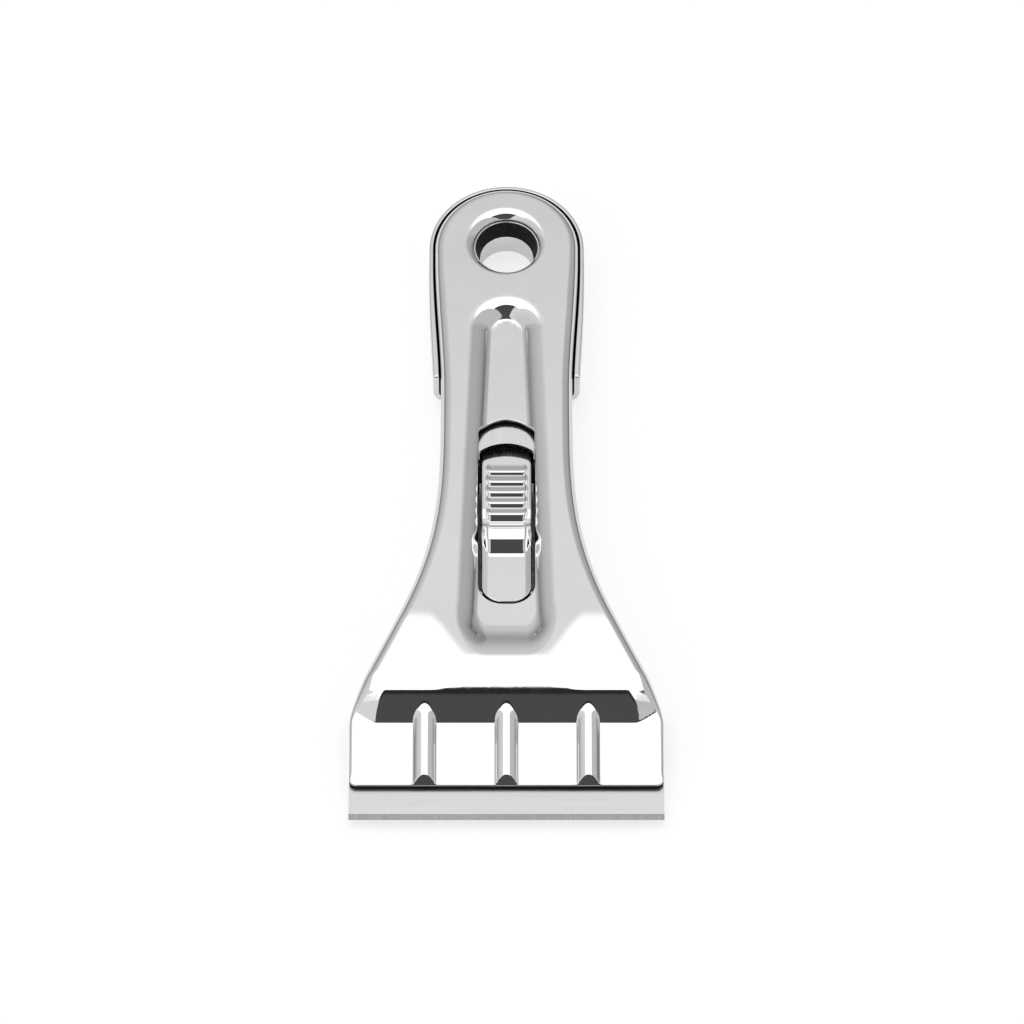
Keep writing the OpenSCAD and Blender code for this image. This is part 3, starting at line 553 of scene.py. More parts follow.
class Skin:
    """Points and faces of one mesh, in millimetres and s."""

    def __init__(self):
        self.points = []
        self.normals = []
        self.faces = []
        self.finishes = []

    def loop(self, plan, z):
        """Adds a loop of points and returns their numbers."""
        first = len(self.points)
        z = np.broadcast_to(z, len(plan))
        self.points.extend((p[0], p[1], h) for p, h in zip(plan, z))
        self.normals.extend([(0, 0, 0)] * len(plan))
        return list(range(first, len(self.points)))

    def lean(self, numbers, height):
        """Gives points on a height field the field's own normals, which keep reflections even."""
        x, s = np.array([self.points[k][:2] for k in numbers]).T
        dx = (height(x + SLOPE_STEP, s) - height(x - SLOPE_STEP, s)) / (2 * SLOPE_STEP)
        ds = (height(x, s + SLOPE_STEP) - height(x, s - SLOPE_STEP)) / (2 * SLOPE_STEP)
        n = np.column_stack([-dx, -ds, np.ones(len(x))])
        n /= np.linalg.norm(n, axis=1)[:, None]
        for k, normal in zip(numbers, n):
            self.normals[k] = tuple(normal)

    def add(self, face, finish=BRIGHT):
        self.faces.append(tuple(face))
        self.finishes.append(int(finish))

    def strip(self, a, b, finish=BRIGHT, leave=False):
        """Faces between two closed loops of as many points, with a finish and a gap flag for each."""
        n = len(a)
        finish = np.broadcast_to(finish, n)
        leave = np.broadcast_to(leave, n)
        for k in range(n):
            m = (k + 1) % n
            if not leave[k]:
                self.add((a[k], a[m], b[m], b[k]), finish[k])

    def strips(self, loops, finish=BRIGHT):
        for a, b in zip(loops, loops[1:]):
            self.strip(a, b, finish)

    def fill(self, loops, grid, height, finish=BRIGHT):
        """Fills the plan region inside the first loop and outside the others; returns its points."""
        numbers = [k for loop in loops for k in loop]
        plans = [np.array([self.points[k][:2] for k in loop]) for loop in loops]
        keep = inside(grid, plans[0])
        for hole in plans[1:]:
            keep &= ~inside(grid, hole)
        near = np.vstack(plans)
        free = grid[keep]
        gap = np.array([np.min(np.hypot(*(near - p).T)) for p in free])
        free = free[gap > EDGE_CLEAR]
        edges = []
        start = 0
        for loop in loops:
            n = len(loop)
            edges.extend((start + k, start + (k + 1) % n) for k in range(n))
            start += n
        numbers += self.loop(free, height(free[:, 0], free[:, 1]))
        plan = np.vstack(plans + [free])
        found = geometry.delaunay_2d_cdt([Vector(p) for p in plan], edges, [], 0, MERGE)
        faces = np.array(found[2])
        source = np.array([ids[0] for ids in found[3]])
        middle = plan[source[faces]].mean(axis=1)
        good = inside(middle, plans[0])
        for hole in plans[1:]:
            good &= ~inside(middle, hole)
        for face in source[faces[good]]:
            self.add((numbers[k] for k in face), finish)
        return numbers

    def build(self, name, sharp=40):
        """Makes the object in the frame's metres, smooth apart from edges over the given angle."""
        co = np.array(self.points)
        co = np.column_stack([co[:, 0] * MM, co[:, 1] * MM + EDGE_Y, co[:, 2] * MM])
        mesh = bpy.data.meshes.new(name)
        mesh.from_pydata(co.tolist(), [], self.faces)
        mesh.polygons.foreach_set("material_index", self.finishes)
        mesh.validate()
        work = bmesh.new()
        work.from_mesh(mesh)
        bmesh.ops.recalc_face_normals(work, faces=work.faces)
        work.to_mesh(mesh)
        work.free()
        mesh.polygons.foreach_set("use_smooth", np.ones(len(mesh.polygons), bool))
        mesh.set_sharp_from_angle(angle=math.radians(sharp))
        mesh.normals_split_custom_set_from_vertices(self.normals)
        piece = bpy.data.objects.new(name, mesh)
        bpy.context.scene.collection.objects.link(piece)
        return piece


def grid_points(step, half=20.0, s0=4.0, s1=95.0):
    """Even points over a strip, with every other row shifted for even triangles."""
    xs = np.arange(-half, half, step)
    ss = np.arange(s0, s1, step)
    x, s = np.meshgrid(xs, ss)
    shift = (np.arange(len(ss)) % 2)[:, None] * step / 2
    return np.column_stack([(x + shift).ravel(), s.ravel()])


# Upper shell

def top_grid():
    """Points on the top: coarse on flat ground, finer on the slope, fine on ribs and channel walls."""
    def detail(grid):
        x, s = grid.T
        drop = channel_drop(x, s)
        wall = (drop > LEVEL) & (drop < CHANNEL_DEPTH - LEVEL)
        rib = (from_rib(x) < RIB_W / 2 + RIB_MARGIN) & (s < CREASE_S + RIB_BEHIND)
        crease = np.abs(s - CREASE_S) < CREASE_MARGIN
        return wall | rib | crease

    def slope(grid):
        s = grid[:, 1]
        return (s > CREASE_S) & (s < DROOP_SIDE_S + BROW_MARGIN)

    fine, middle, coarse = (grid_points(step) for step in (FINE_STEP, MIDDLE_STEP, COARSE_STEP))
    fine = fine[detail(fine)]
    middle = middle[slope(middle) & ~detail(middle)]
    coarse = coarse[~slope(coarse) & ~detail(coarse)]
    return np.vstack([fine, middle, coarse])


def window_levels(s, low, high):
    """Two heights between a skirt's lower and upper edge, at the windows' edges along the handle."""
    near = smooth((s - SKIRT_FRONT - SKIRT_DOWN) / WINDOW_FADE)
    return (mix(mix(low, high, LOWER_THIRD), WINDOW_LOW, near),
            mix(mix(low, high, UPPER_THIRD), WINDOW_HIGH, near))


def window_rims(skin, outer, inner, is_open):
    """Cut edges of the windows, between the outer and the inner pair of loops."""
    n = len(is_open)
    for k in np.flatnonzero(is_open):
        m = (k + 1) % n
        for out, into in zip(outer, inner):
            skin.add((out[k], out[m], into[m], into[k]))
        if not is_open[k - 1]:
            skin.add((outer[0][k], inner[0][k], inner[1][k], outer[1][k]))
        if not is_open[m]:
            skin.add((outer[0][m], inner[0][m], inner[1][m], outer[1][m]))


def shell_edge(skin):
    """Rounded edge, skirt and inner face; returns the loops where top and underside start."""
    outline = body_outline()
    normal = outward(outline)
    s = outline[:, 1]
    r = edge_radius(s)
    foot = skirt_bottom(s)

    def inset_loop(inset, drop):
        plan = outline - normal * np.broadcast_to(inset, len(outline))[:, None]
        return plan, top_z(*plan.T) - drop

    middle_s = (s + np.roll(s, -1)) / 2
    is_open = np.min([np.abs(middle_s - place) for place in CLIP_PLACES], axis=0) < WINDOW_HALF
    # Skirt faces behind the lower shell's wall and along the front edge are painted near-black as shade.
    painted_skirt_shade = np.where((middle_s > WALL_END + 1) | (middle_s < FRONT_S + FRONT_SHADE), PAINTED_SHADE, BRIGHT)

    edge = [skin.loop(*inset_loop(r * (1 - math.sin(a)), r * (1 - math.cos(a)))) for a in turns(90, 13)]
    skin.strips(edge)
    side_z = inset_loop(0, r)[1]
    foot_r = np.minimum(FOOT_R, (side_z - foot) / 2)
    low_z = foot + foot_r
    outer = [skin.loop(outline, z) for z in window_levels(s, low_z, side_z)]
    rim = [skin.loop(outline, low_z),
           skin.loop(outline - normal * (foot_r * ROUND_SHARE)[:, None], foot + foot_r * ROUND_SHARE),
           skin.loop(outline - normal * foot_r[:, None], foot),
           skin.loop(outline - normal * (SHEET - FOOT_R), foot)]
    skin.strip(edge[-1], outer[1], painted_skirt_shade)
    skin.strip(outer[1], outer[0], painted_skirt_shade, is_open)
    skin.strip(outer[0], rim[0], painted_skirt_shade)
    skin.strips(rim, painted_skirt_shade)

    plan, z = inset_loop(SHEET, r)
    high_z = np.maximum(z - SHEET / 2, foot + 3 * SLIVER)
    low_z = np.minimum(foot + foot_r, high_z - SLIVER)
    inner = [skin.loop(plan, level) for level in window_levels(s, low_z, high_z)]
    low, high = skin.loop(plan, low_z), skin.loop(plan, high_z)
    inner_r = np.maximum(r - SHEET, INNER_EDGE_R)
    ceiling = [high]
    for share in (ROUND_SHARE, 1):
        plan, z = inset_loop(SHEET + inner_r * share, SHEET + inner_r * (1 - share) * CEILING_BEND)
        ceiling.append(skin.loop(plan, np.maximum(z, high_z + SLIVER / 2 * (1 + share))))
    # The sheet's inner faces are painted near-black as shade.
    skin.strips([rim[-1], low, inner[0]], PAINTED_SHADE)
    skin.strip(inner[0], inner[1], PAINTED_SHADE, is_open)
    skin.strips([inner[1]] + ceiling, PAINTED_SHADE)
    window_rims(skin, outer, inner, is_open)
    return edge[0], ceiling[-1]


def slot_edge(skin):
    """Slot for the button, with a rounded upper edge; returns its upper and lower loop."""
    slot = arched_strip(SLOT_HALF, SLOT_FRONT, SLOT_REAR, SLOT_R, SLOT_ARCH_R, SLOT_END_R)
    out = outward(slot)
    loops = []
    for a in turns(90, 6):
        plan = slot + out * SLOT_EDGE_R * (1 - math.sin(a))
        loops.append(skin.loop(plan, top_z(*plan.T) - SLOT_EDGE_R * (1 - math.cos(a))))
    skin.strips(loops)
    wide = slot + out * SLOT_BURR
    # The slot's cut wall and the underside beside it are painted near-black as shade.
    lower = [loops[-1], skin.loop(slot, under_z(*slot.T) + SLOT_BURR), skin.loop(wide, under_z(*wide.T))]
    skin.strips(lower, PAINTED_SHADE)
    return loops[0], lower[-1]


def lip_edge(skin):
    """Hanging hole with its rolled lip, widest at the far side; returns its upper and lower loop."""
    ring = circle(120)
    centre = np.array([0, HEAD_S])
    from_far = np.arctan2(-ring[:, 0], ring[:, 1])
    radius = mix(LIP_NEAR_ROLL_R, LIP_ROLL_R, (1 + np.cos(from_far - LIP_SKEW)) / 2)
    nearness = (1 - np.cos(from_far)) / 2
    hole_r = LIP_HOLE_R + LIP_NEAR_GROW * nearness ** 2

    def turned(r, z):
        return skin.loop(centre + ring * r[:, None], z)

    def rolled(a):
        return hole_r + radius * (math.sin(LIP_TURN) - math.sin(a)), TOP_Z - radius * (1 - math.cos(a))

    roll = [turned(*rolled(a)) for a in np.linspace(0, LIP_TURN, 14)]
    edge_r, edge_z = rolled(LIP_TURN)
    ahead, down = LIP_NOSE * math.cos(LIP_TURN), LIP_NOSE * math.sin(LIP_TURN)
    nose = []
    for depth in (LIP_NOSE, SHEET - LIP_NOSE):
        r = edge_r - ahead + depth * math.sin(LIP_TURN)
        nose.append(turned(r, edge_z - down - depth * math.cos(LIP_TURN)))
    corner = turned(edge_r + SHEET * math.sin(LIP_TURN), edge_z - SHEET * math.cos(LIP_TURN))
    start_r = rolled(0)[0] + SHEET
    below = turned(start_r, np.full(len(ring), TOP_Z - SHEET))
    # The inner end of the roll on the near side is painted near-black as a reflection of the dark hole; the
    # cut edge and underside below the lip are painted near-black as shade.
    start = round(len(roll) * (1 - LIP_SHADE))
    skin.strips(roll[:start + 1])
    skin.strips(roll[start:], np.where(nearness > LIP_SHADE_NEAR, PAINTED_SHADE, BRIGHT))
    skin.strips([roll[-1]] + nose)
    skin.strips([nose[-1], corner, below], PAINTED_SHADE)
    return roll[0], below


def upper_shell():
    skin = Skin()
    edges = [shell_edge(skin), slot_edge(skin), lip_edge(skin)]
    skin.lean(skin.fill([upper for upper, _ in edges], top_grid(), top_z), top_z)
    # The underside is painted near-black as shade.
    skin.fill([lower for _, lower in edges], grid_points(CEILING_STEP), under_z, PAINTED_SHADE)
    return skin.build("upper_shell_pressing")


# Lower shell

def along_edge(s, inset):
    """Right-hand points of the upper shell's outline, moved in by an inset."""
    return np.column_stack([half_width(s) - inset, s])


def block(skin, plan, z0, z1, finish=BRIGHT, soft=0.05):
    """Closed block on a counter-clockwise plan, with softened upper and lower edges."""
    inset = plan - outward(plan) * soft
    levels = ((inset, z0), (plan, z0 + soft), (plan, z1 - soft), (inset, z1))
    loops = [skin.loop(points, z) for points, z in levels]
    skin.strips(loops, finish)
    skin.add(loops[-1], finish)
    skin.add(loops[0][::-1], finish)


def edge_block(skin, s0, s1, outer, inner, z0, z1):
    """Small block along both edges of the shell, between two insets and two heights."""
    s = np.linspace(s0, s1, 5)
    right = np.vstack([along_edge(s, outer), along_edge(s, inner)[::-1]])
    for plan in (right, right[::-1] * MIRROR):
        block(skin, plan, z0, z1)


def box_plan(x, s, width, length):
    return np.array([x, s]) + np.array([[-1, -1], [1, -1], [1, 1], [-1, 1]]) * [width / 2, length / 2]


def floor_z(x, s):
    """Underside of the lower shell: flat, raised to a dish round the eyelet."""
    d = np.hypot(x, s - HEAD_S)
    return DISH_RISE * (1 - smooth((d - DISH_R) / (DISH_FOOT_R - DISH_R)))


def floor_outline():
    start = FRONT_S + FLOOR_INSET
    s = np.linspace(start + CORNER_R, HEAD_S, 160)[1:]
    step = FLOOR_STEP * smooth((s - WALL_END + FLOOR_STEP) / FLOOR_STEP)
    return closed_outline(start, HEAD_S, HEAD_R - FLOOR_STEP, s, half_width(s) - step)


def pan_floor(skin):
    """Floor with its dish and the two detent holes."""
    outline = floor_outline()
    inset = outline - outward(outline) * FLOOR_SOFT
    rim = [skin.loop(inset, floor_z(*inset.T)), skin.loop(outline, FLOOR_SOFT),
           skin.loop(outline, SHEET - FLOOR_SOFT), skin.loop(inset, SHEET)]
    skin.strips(rim)
    holes = [(HEAD_S, FLOOR_HOLE_R, DISH_RISE)] + [(s, DETENT_R, 0) for s in DETENT_PLACES]
    lower, upper = [rim[0]], [rim[-1]]
    for s, r, z in holes:
        levels = ((HOLE_BURR, z), (0, z + HOLE_BURR), (0, z + SHEET - HOLE_BURR), (HOLE_BURR, z + SHEET))
        loops = [skin.loop(np.array([0, s]) + circle(48) * (r + grow), h) for grow, h in levels]
        skin.strips(loops)
        lower.append(loops[0])
        upper.append(loops[-1])
    grid = grid_points(PAN_STEP)
    skin.fill(lower, grid, floor_z)
    skin.fill(upper, grid, lambda x, s: floor_z(x, s) + SHEET, DULL)


def wall_path():
    """Upper shell's outline from the right wall end round the head to the left one."""
    near_end = WALL_END + WALL_CORNER_R * (1 - np.cos(turns(90, 7)))
    s = np.concatenate([near_end, np.linspace(near_end[-1], HEAD_S, 60)[1:]])
    side = np.column_stack([half_width(s), s])
    head = arc(0, HEAD_S, HEAD_R, 0, 180, 110)[1:-1]
    return np.vstack([side, head, side[::-1] * MIRROR])


def wall_section(gap, out, height):
    """Section of the bent wall: distance outside the upper shell, and height; its inner face comes last."""
    thick = out - gap
    bend = out - BEND_R
    top = WALL_EDGE_R
    inner_top = WALL_INNER_EDGE_R
    return np.vstack([
        arc(bend, BEND_R, BEND_R, -90, 0, 8),
        arc(out - top, height - top, top, 0, 90, 5),
        arc(gap + inner_top, height - inner_top, inner_top, 90, 180, 5),
        arc(bend, BEND_R, BEND_R - thick, 0, -90, 6)])


def pan_wall(skin):
    """Bent wall carried along the outline, with round upper corners at both ends."""
    path = wall_path()
    tangent = np.gradient(path, axis=0)
    normal = np.column_stack([tangent[:, 1], -tangent[:, 0]])
    normal /= np.linalg.norm(normal, axis=1)[:, None]
    short = np.clip(WALL_CORNER_R - path[:, 1] + WALL_END, 0, WALL_CORNER_R)
    height = WALL_H - WALL_CORNER_R + np.sqrt(WALL_CORNER_R ** 2 - short ** 2)
    near_head = smooth((path[:, 1] - WALL_TURN_S) / WALL_TURN)
    out = mix(WALL_OUT, WALL_HEAD_OUT, near_head)
    rings = []
    for p, n, o, h in zip(path, normal, out, height):
        section = wall_section(WALL_GAP, o, h)
        rings.append(skin.loop(p + n * section[:, :1], section[:, 1]))
    # The wall's inner face is painted near-black as shade in the gap beside the upper shell.
    inner_face = np.arange(len(section)) >= len(section) - WALL_INNER_FACES
    skin.strips(rings, np.where(inner_face, PAINTED_SHADE, BRIGHT))
    skin.add(rings[0])
    skin.add(rings[-1][::-1])


def lower_shell():
    skin = Skin()
    pan_floor(skin)
    pan_wall(skin)
    inner = SHEET + SLIDE_GAP
    for s in CLIP_PLACES:
        edge_block(skin, s - CLIP_LEN / 2, s + CLIP_LEN / 2, inner, inner + SHEET, SHEET, CLIP_H)
        edge_block(skin, s - CATCH_LEN / 2, s + CATCH_LEN / 2, SHEET - CATCH_OUT, inner,
                   CATCH_Z, CATCH_Z + CATCH_H)
    for s in LUG_PLACES:
        for side in (-1, 1):
            x = side * (STRIP_HALF + SLIDE_GAP + LUG_T / 2)
            block(skin, box_plan(x, s, LUG_T, LUG_LEN), SHEET, LUG_H)
    return skin.build("lower_shell_pan")


# Eyelet

def eyelet():
    """Flared tube turned about the hanging hole's axis; its flare's inner face is painted dark as shade."""
    soft = EYELET_SOFT
    barrel = EYELET_BORE_R + EYELET_T
    flange_top = DISH_RISE - SEAT_GAP
    outside = [(EYELET_BORE_R + soft, SEAT_GAP), (FLANGE_R - soft, SEAT_GAP), (FLANGE_R, SEAT_GAP + soft),
               (FLANGE_R, flange_top - soft), (FLANGE_R - soft, flange_top),
               (barrel, flange_top), (barrel, EYELET_FLARE_Z),
               (EYELET_TOP_R + EYELET_T, EYELET_TOP_Z - soft),
               (EYELET_TOP_R + EYELET_T - soft, EYELET_TOP_Z),
               (EYELET_TOP_R + soft, EYELET_TOP_Z),
               (EYELET_TOP_R + soft * ROUND_SHARE, EYELET_TOP_Z - soft * ROUND_SHARE)]
    flare = [(EYELET_TOP_R, EYELET_TOP_Z - soft),
             (mix(EYELET_BORE_R, EYELET_TOP_R, EYELET_FLARE_BEND), mix(EYELET_FLARE_Z, EYELET_TOP_Z, 0.5)),
             (EYELET_BORE_R + soft * ROUND_SHARE, EYELET_FLARE_Z + soft)]
    bore = [(EYELET_BORE_R, EYELET_FLARE_Z), (EYELET_BORE_R, SEAT_GAP + 2 * soft),
            (EYELET_BORE_R + soft * ROUND_SHARE, SEAT_GAP + soft * ROUND_SHARE)]
    skin = Skin()
    ring = circle(120)
    outside, flare, bore = ([skin.loop(np.array([0, HEAD_S]) + ring * r, z) for r, z in part]
                            for part in (outside, flare, bore))
    skin.strips([bore[-1]] + outside + flare[:1])
    skin.strips(flare, PAINTED_SHADE)
    skin.strips(flare[-1:] + bore)
    return skin.build("hanging_eyelet_tube", 30)


# Thumb button

def bump_z(u):
    """Large ridge with its front edge at u = 0: steep front, tilted top, steep rear."""
    rear = BUMP_Z + BUMP_TOP_TILT * BUMP_LEN - BUMP_REAR_TILT * (u - BUMP_LEN)
    front = soft_min(BUMP_Z + BUMP_FRONT_TILT * u, BUMP_Z + BUMP_TOP_TILT * u, BUMP_SOFT)
    return soft_min(front, rear, BUMP_SOFT)


def ridge_z(u, peak):
    """Fine ridge: steep front, round top and gentle rear."""
    return soft_min(peak + RIDGE_FRONT_TILT * u, peak - RIDGE_REAR_TILT * u, RIDGE_SOFT)


def button_z(x, s):
    """Height of the button's top: bevelled pad, large ridge, and five ridges on the grip."""
    pad = PAD_Z - PAD_BEVEL * soft_positive(np.abs(x) - PAD_FLAT_HALF, PAD_SOFT)
    grip = VALLEY_Z + VALLEY_TILT * np.maximum(VALLEY_S - s, 0)
    grip = grip + GRIP_RISE * smooth((s - GRIP_S) / GRIP_RUN)
    base = mix(pad, grip, smooth((s - BUMP_FRONT_S) / BUMP_LEN))
    ends = END_TILT * soft_positive(np.abs(x) - RIDGE_HALF_LEN, END_SOFT)
    turn = END_TURN * np.maximum(np.abs(x) - END_TURN_X, 0) ** 2
    z = soft_max(base, bump_z(s - BUMP_FRONT_S - turn) - ends, BUMP_FOOT_SOFT)
    for k in range(RIDGE_COUNT):
        u = s - RIDGE_FRONT_S - k * RIDGE_PITCH - turn
        peak = RIDGE_PEAK_Z - RIDGE_FALL * (k - RIDGE_PEAK) ** 2
        z = soft_max(z, ridge_z(u, peak) - ends, RIDGE_FOOT_SOFT)
    return z


def thumb_button():
    skin = Skin()
    plan = arched_strip(BUTTON_HALF, BUTTON_FRONT, BUTTON_REAR, BUTTON_FRONT_R, BUTTON_ARCH_R, BUTTON_END_R)
    out = outward(plan)
    behind = plan[:, 1] - BUTTON_FRONT - BUTTON_EDGE_LEAD
    r = mix(BUTTON_FRONT_EDGE_R, BUTTON_EDGE_R, smooth(behind / BUTTON_EDGE_RUN))
    top = []
    for a in turns(90, 7):
        p = plan - out * (r * (1 - math.sin(a)))[:, None]
        top.append(skin.loop(p, button_z(*p.T) - r * (1 - math.cos(a))))
    hollow = plan - out * BUTTON_T
    skirt = [top[-1], skin.loop(plan, BUTTON_SKIRT_Z + BUTTON_FOOT_R),
             skin.loop(plan - out * BUTTON_FOOT_R, BUTTON_SKIRT_Z),
             skin.loop(hollow, BUTTON_SKIRT_Z), skin.loop(hollow, PAD_Z - BUTTON_T)]
    skin.strips(top)
    # The button's sides and underside are painted near-black as shade in the slot's gaps.
    skin.strips(skirt, PAINTED_SHADE)
    skin.add(skirt[-1][::-1], PAINTED_SHADE)
    grid = grid_points(BUTTON_STEP, half=3.2, s0=29, s1=52)
    skin.lean(skin.fill(top[:1], grid, button_z), button_z)
    # The stops are painted near-black as shade.
    for side in (-1, 1):
        x = side * (BUTTON_HALF + STOP_OUT / 2)
        s = BUTTON_REAR - STOP_INSET + STOP_LEN / 2
        block(skin, box_plan(x, s, STOP_OUT, STOP_LEN), PAD_Z - BUTTON_T - STOP_H, PAD_Z - BUTTON_T, PAINTED_SHADE)
    return skin.build("thumb_button_cap")


# Node graphs

class Graph:
    """Short forms for the nodes of one tree."""

    def __init__(self, tree):
        self.nodes = tree.nodes
        self.links = tree.links

    def axes(self, space):
        """X, Y and Z of a texture space."""
        coords = self.nodes.new("ShaderNodeTexCoord")
        split = self.nodes.new("ShaderNodeSeparateXYZ")
        self.links.new(coords.outputs[space], split.inputs[0])
        return split.outputs

    def calc(self, operation, *values):
        """Math node on numbers and on other nodes' outputs."""
        node = self.nodes.new("ShaderNodeMath")
        node.operation = operation
        for socket, value in zip(node.inputs, values):
            if isinstance(value, (int, float)):
                socket.default_value = value
            else:
                self.links.new(value, socket)
        return node.outputs[0]

    def blend(self, a, b, share):
        """From number a to number b by a share."""
        return self.calc("ADD", self.calc("MULTIPLY", self.calc("SUBTRACT", b, a), share), a)

    def ranged(self, value, low, high, span=NOISE_SPAN, curve="LINEAR"):
        """Number that goes from low to high while a value crosses a span."""
        node = self.nodes.new("ShaderNodeMapRange")
        node.interpolation_type = curve
        node.inputs["From Min"].default_value = span[0]
        node.inputs["From Max"].default_value = span[1]
        node.inputs["To Min"].default_value = low
        node.inputs["To Max"].default_value = high
        self.links.new(value, node.inputs["Value"])
        return node.outputs["Result"]

    def step(self, angle, span, before=0.0, after=1.0):
        """Smooth change of a number while an angle crosses a span in degrees."""
        start, end = (math.radians(limit) for limit in span)
        return self.ranged(angle, before, after, (start, end), "SMOOTHSTEP")

    def band(self, angle, span, softs):
        """One within a span in degrees and zero outside, with a softness for each end."""
        rise, fall = (self.step(angle, around(end, soft)) for end, soft in zip(span, softs))
        return self.calc("SUBTRACT", rise, fall)

    def noise(self, scale, detail, stretch=(1, 1, 1)):
        """Noise in object space, in features per metre."""
        coords = self.nodes.new("ShaderNodeTexCoord")
        spread = self.nodes.new("ShaderNodeMapping")
        spread.inputs["Scale"].default_value = stretch
        self.links.new(coords.outputs["Object"], spread.inputs["Vector"])
        texture = self.nodes.new("ShaderNodeTexNoise")
        texture.inputs["Scale"].default_value = scale
        texture.inputs["Detail"].default_value = detail
        self.links.new(spread.outputs["Vector"], texture.inputs["Vector"])
        return texture.outputs["Fac"]

    def tinted(self, value, dark, light):
        """Noise turned into a colour between two colours."""
        node = self.nodes.new("ShaderNodeValToRGB")
        for element, position, colour in zip(node.color_ramp.elements, NOISE_SPAN, (dark, light)):
            element.position = position
            element.color = (*colour, 1)
        self.links.new(value, node.inputs["Fac"])
        return node.outputs["Color"]

    def mixed(self, a, b, share):
        """From colour a to colour b by a share."""
        node = self.nodes.new("ShaderNodeMix")
        node.data_type = "RGBA"
        self.links.new(share, node.inputs["Factor"])
        self.links.new(a, node.inputs["A"])
        self.links.new(b, node.inputs["B"])
        return node.outputs["Result"]


def around(middle, soft):
    return middle - soft, middle + soft


# Materials

class Finish(Graph):
    """One material and its shader."""

    def __init__(self, name, metallic=1.0):
        self.material = bpy.data.materials.new(name)
        self.material.use_nodes = True
        super().__init__(self.material.node_tree)
        self.shader = self.nodes["Principled BSDF"]
        self.shader.inputs["Metallic"].default_value = metallic

    def feed(self, socket, value):
        """Links another node's output to one of the shader's sockets."""
        self.links.new(value, self.shader.inputs[socket])

    def bump(self, *heights):
        """Bump from several (height, distance in metres) pairs."""
        normal = None
        for height, distance in heights:
            node = self.nodes.new("ShaderNodeBump")
            node.inputs["Distance"].default_value = distance
            node.inputs["Strength"].default_value = 1.0
            self.links.new(height, node.inputs["Height"])
            if normal is not None:
                self.links.new(normal, node.inputs["Normal"])
            normal = node.outputs["Normal"]
        self.feed("Normal", normal)


def plated(name, dark, light, rough, wave):
    """Bright plating: faint orange peel, fine polishing marks and handled patches."""
    finish = Finish(name)
    patches = finish.noise(160, 3)
    marks = finish.noise(1500, 2, (1, 0.12, 1))
    peel = finish.noise(900, 1)
    grain = finish.noise(4500, 1)
    finish.feed("Base Color", finish.tinted(patches, dark, light))
    finish.feed("Roughness", finish.ranged(marks, *rough))
    finish.bump((peel, wave), (grain, wave * 0.6), (marks, wave * 0.05))
    return finish.material


def brushed(name, dark, light, rough, stretch):
    """Rolled or ground sheet: long fine marks that change its roughness and height, and patches of tint."""
    finish = Finish(name)
    marks = finish.noise(4000, 3, stretch)
    patches = finish.noise(220, 3)
    finish.feed("Base Color", finish.tinted(patches, dark, light))
    finish.feed("Roughness", finish.ranged(marks, *rough))
    finish.bump((marks, MARK_DEPTH), (patches, 1e-6))
    return finish.material


def shade(name, dark, light):
    """Dull near-black paint that stands in for shade in seams and inside the shells."""
    finish = Finish(name, metallic=0.0)
    finish.shader.inputs["Specular IOR Level"].default_value = 0.15
    speckle = finish.noise(1200, 4)
    finish.feed("Base Color", finish.tinted(speckle, dark, light))
    finish.feed("Roughness", finish.ranged(speckle, 0.55, 0.8))
    finish.bump((speckle, 4e-6))
    return finish.material


def strip_zinc():
    """Zinc plate of the carrier: painted dark as shade where it lies under the button and shell, plain zinc
    where it shows behind the button.
    """
    finish = Finish("zinc_plate")
    start = EDGE_Y + PAINTED_SHADE_END_S * MM
    beyond_painted_shade = finish.ranged(finish.axes("Object")["Y"], 0, 1, (start, start + MM))
    marks = finish.noise(4000, 3, LONG_MARKS)
    painted_shade_zinc = finish.tinted(marks, (0.1, 0.1, 0.1), (0.16, 0.16, 0.155))
    clean = finish.tinted(marks, (0.92, 0.92, 0.915), (0.97, 0.97, 0.965))
    finish.feed("Base Color", finish.mixed(painted_shade_zinc, clean, beyond_painted_shade))
    finish.feed("Roughness", finish.ranged(marks, 0.16, 0.22))
    finish.bump((marks, MARK_DEPTH))
    return finish.material


def blade_steel():
    """Satin blade: its ground bevel along the edge is coloured much darker, partly for its grind and partly
    as painted shade, with a painted highlight just behind it.
    """
    finish = Finish("blade_steel")

    def near_edge(start, end):
        span = [EDGE_Y + BEVEL_W * MM * share for share in (start, end)]
        return finish.ranged(finish.axes("Object")["Y"], 1, 0, span)

    ground = near_edge(*BEVEL_SPAN)
    painted_highlight_share = near_edge(*HIGHLIGHT_SPAN)
    rolled = finish.noise(3000, 3, (0.03, 1, 1))
    strokes = finish.noise(5000, 2, (1, 0.1, 1))
    satin = finish.tinted(rolled, (0.84, 0.84, 0.835), (0.9, 0.9, 0.895))
    painted_highlight = finish.tinted(strokes, (0.94, 0.94, 0.94), (0.99, 0.99, 0.99))
    # Bevel colour: partly the grind, partly painted shade.
    coarse = finish.tinted(strokes, (0.31, 0.31, 0.315), (0.38, 0.38, 0.385))
    finish.feed("Base Color", finish.mixed(finish.mixed(satin, painted_highlight, painted_highlight_share), coarse, ground))
    finish.feed("Roughness", finish.ranged(rolled, 0.26, 0.34))
    finish.bump((rolled, 8e-7), (strokes, 6e-7))
    return finish.material


# Light, floor and camera

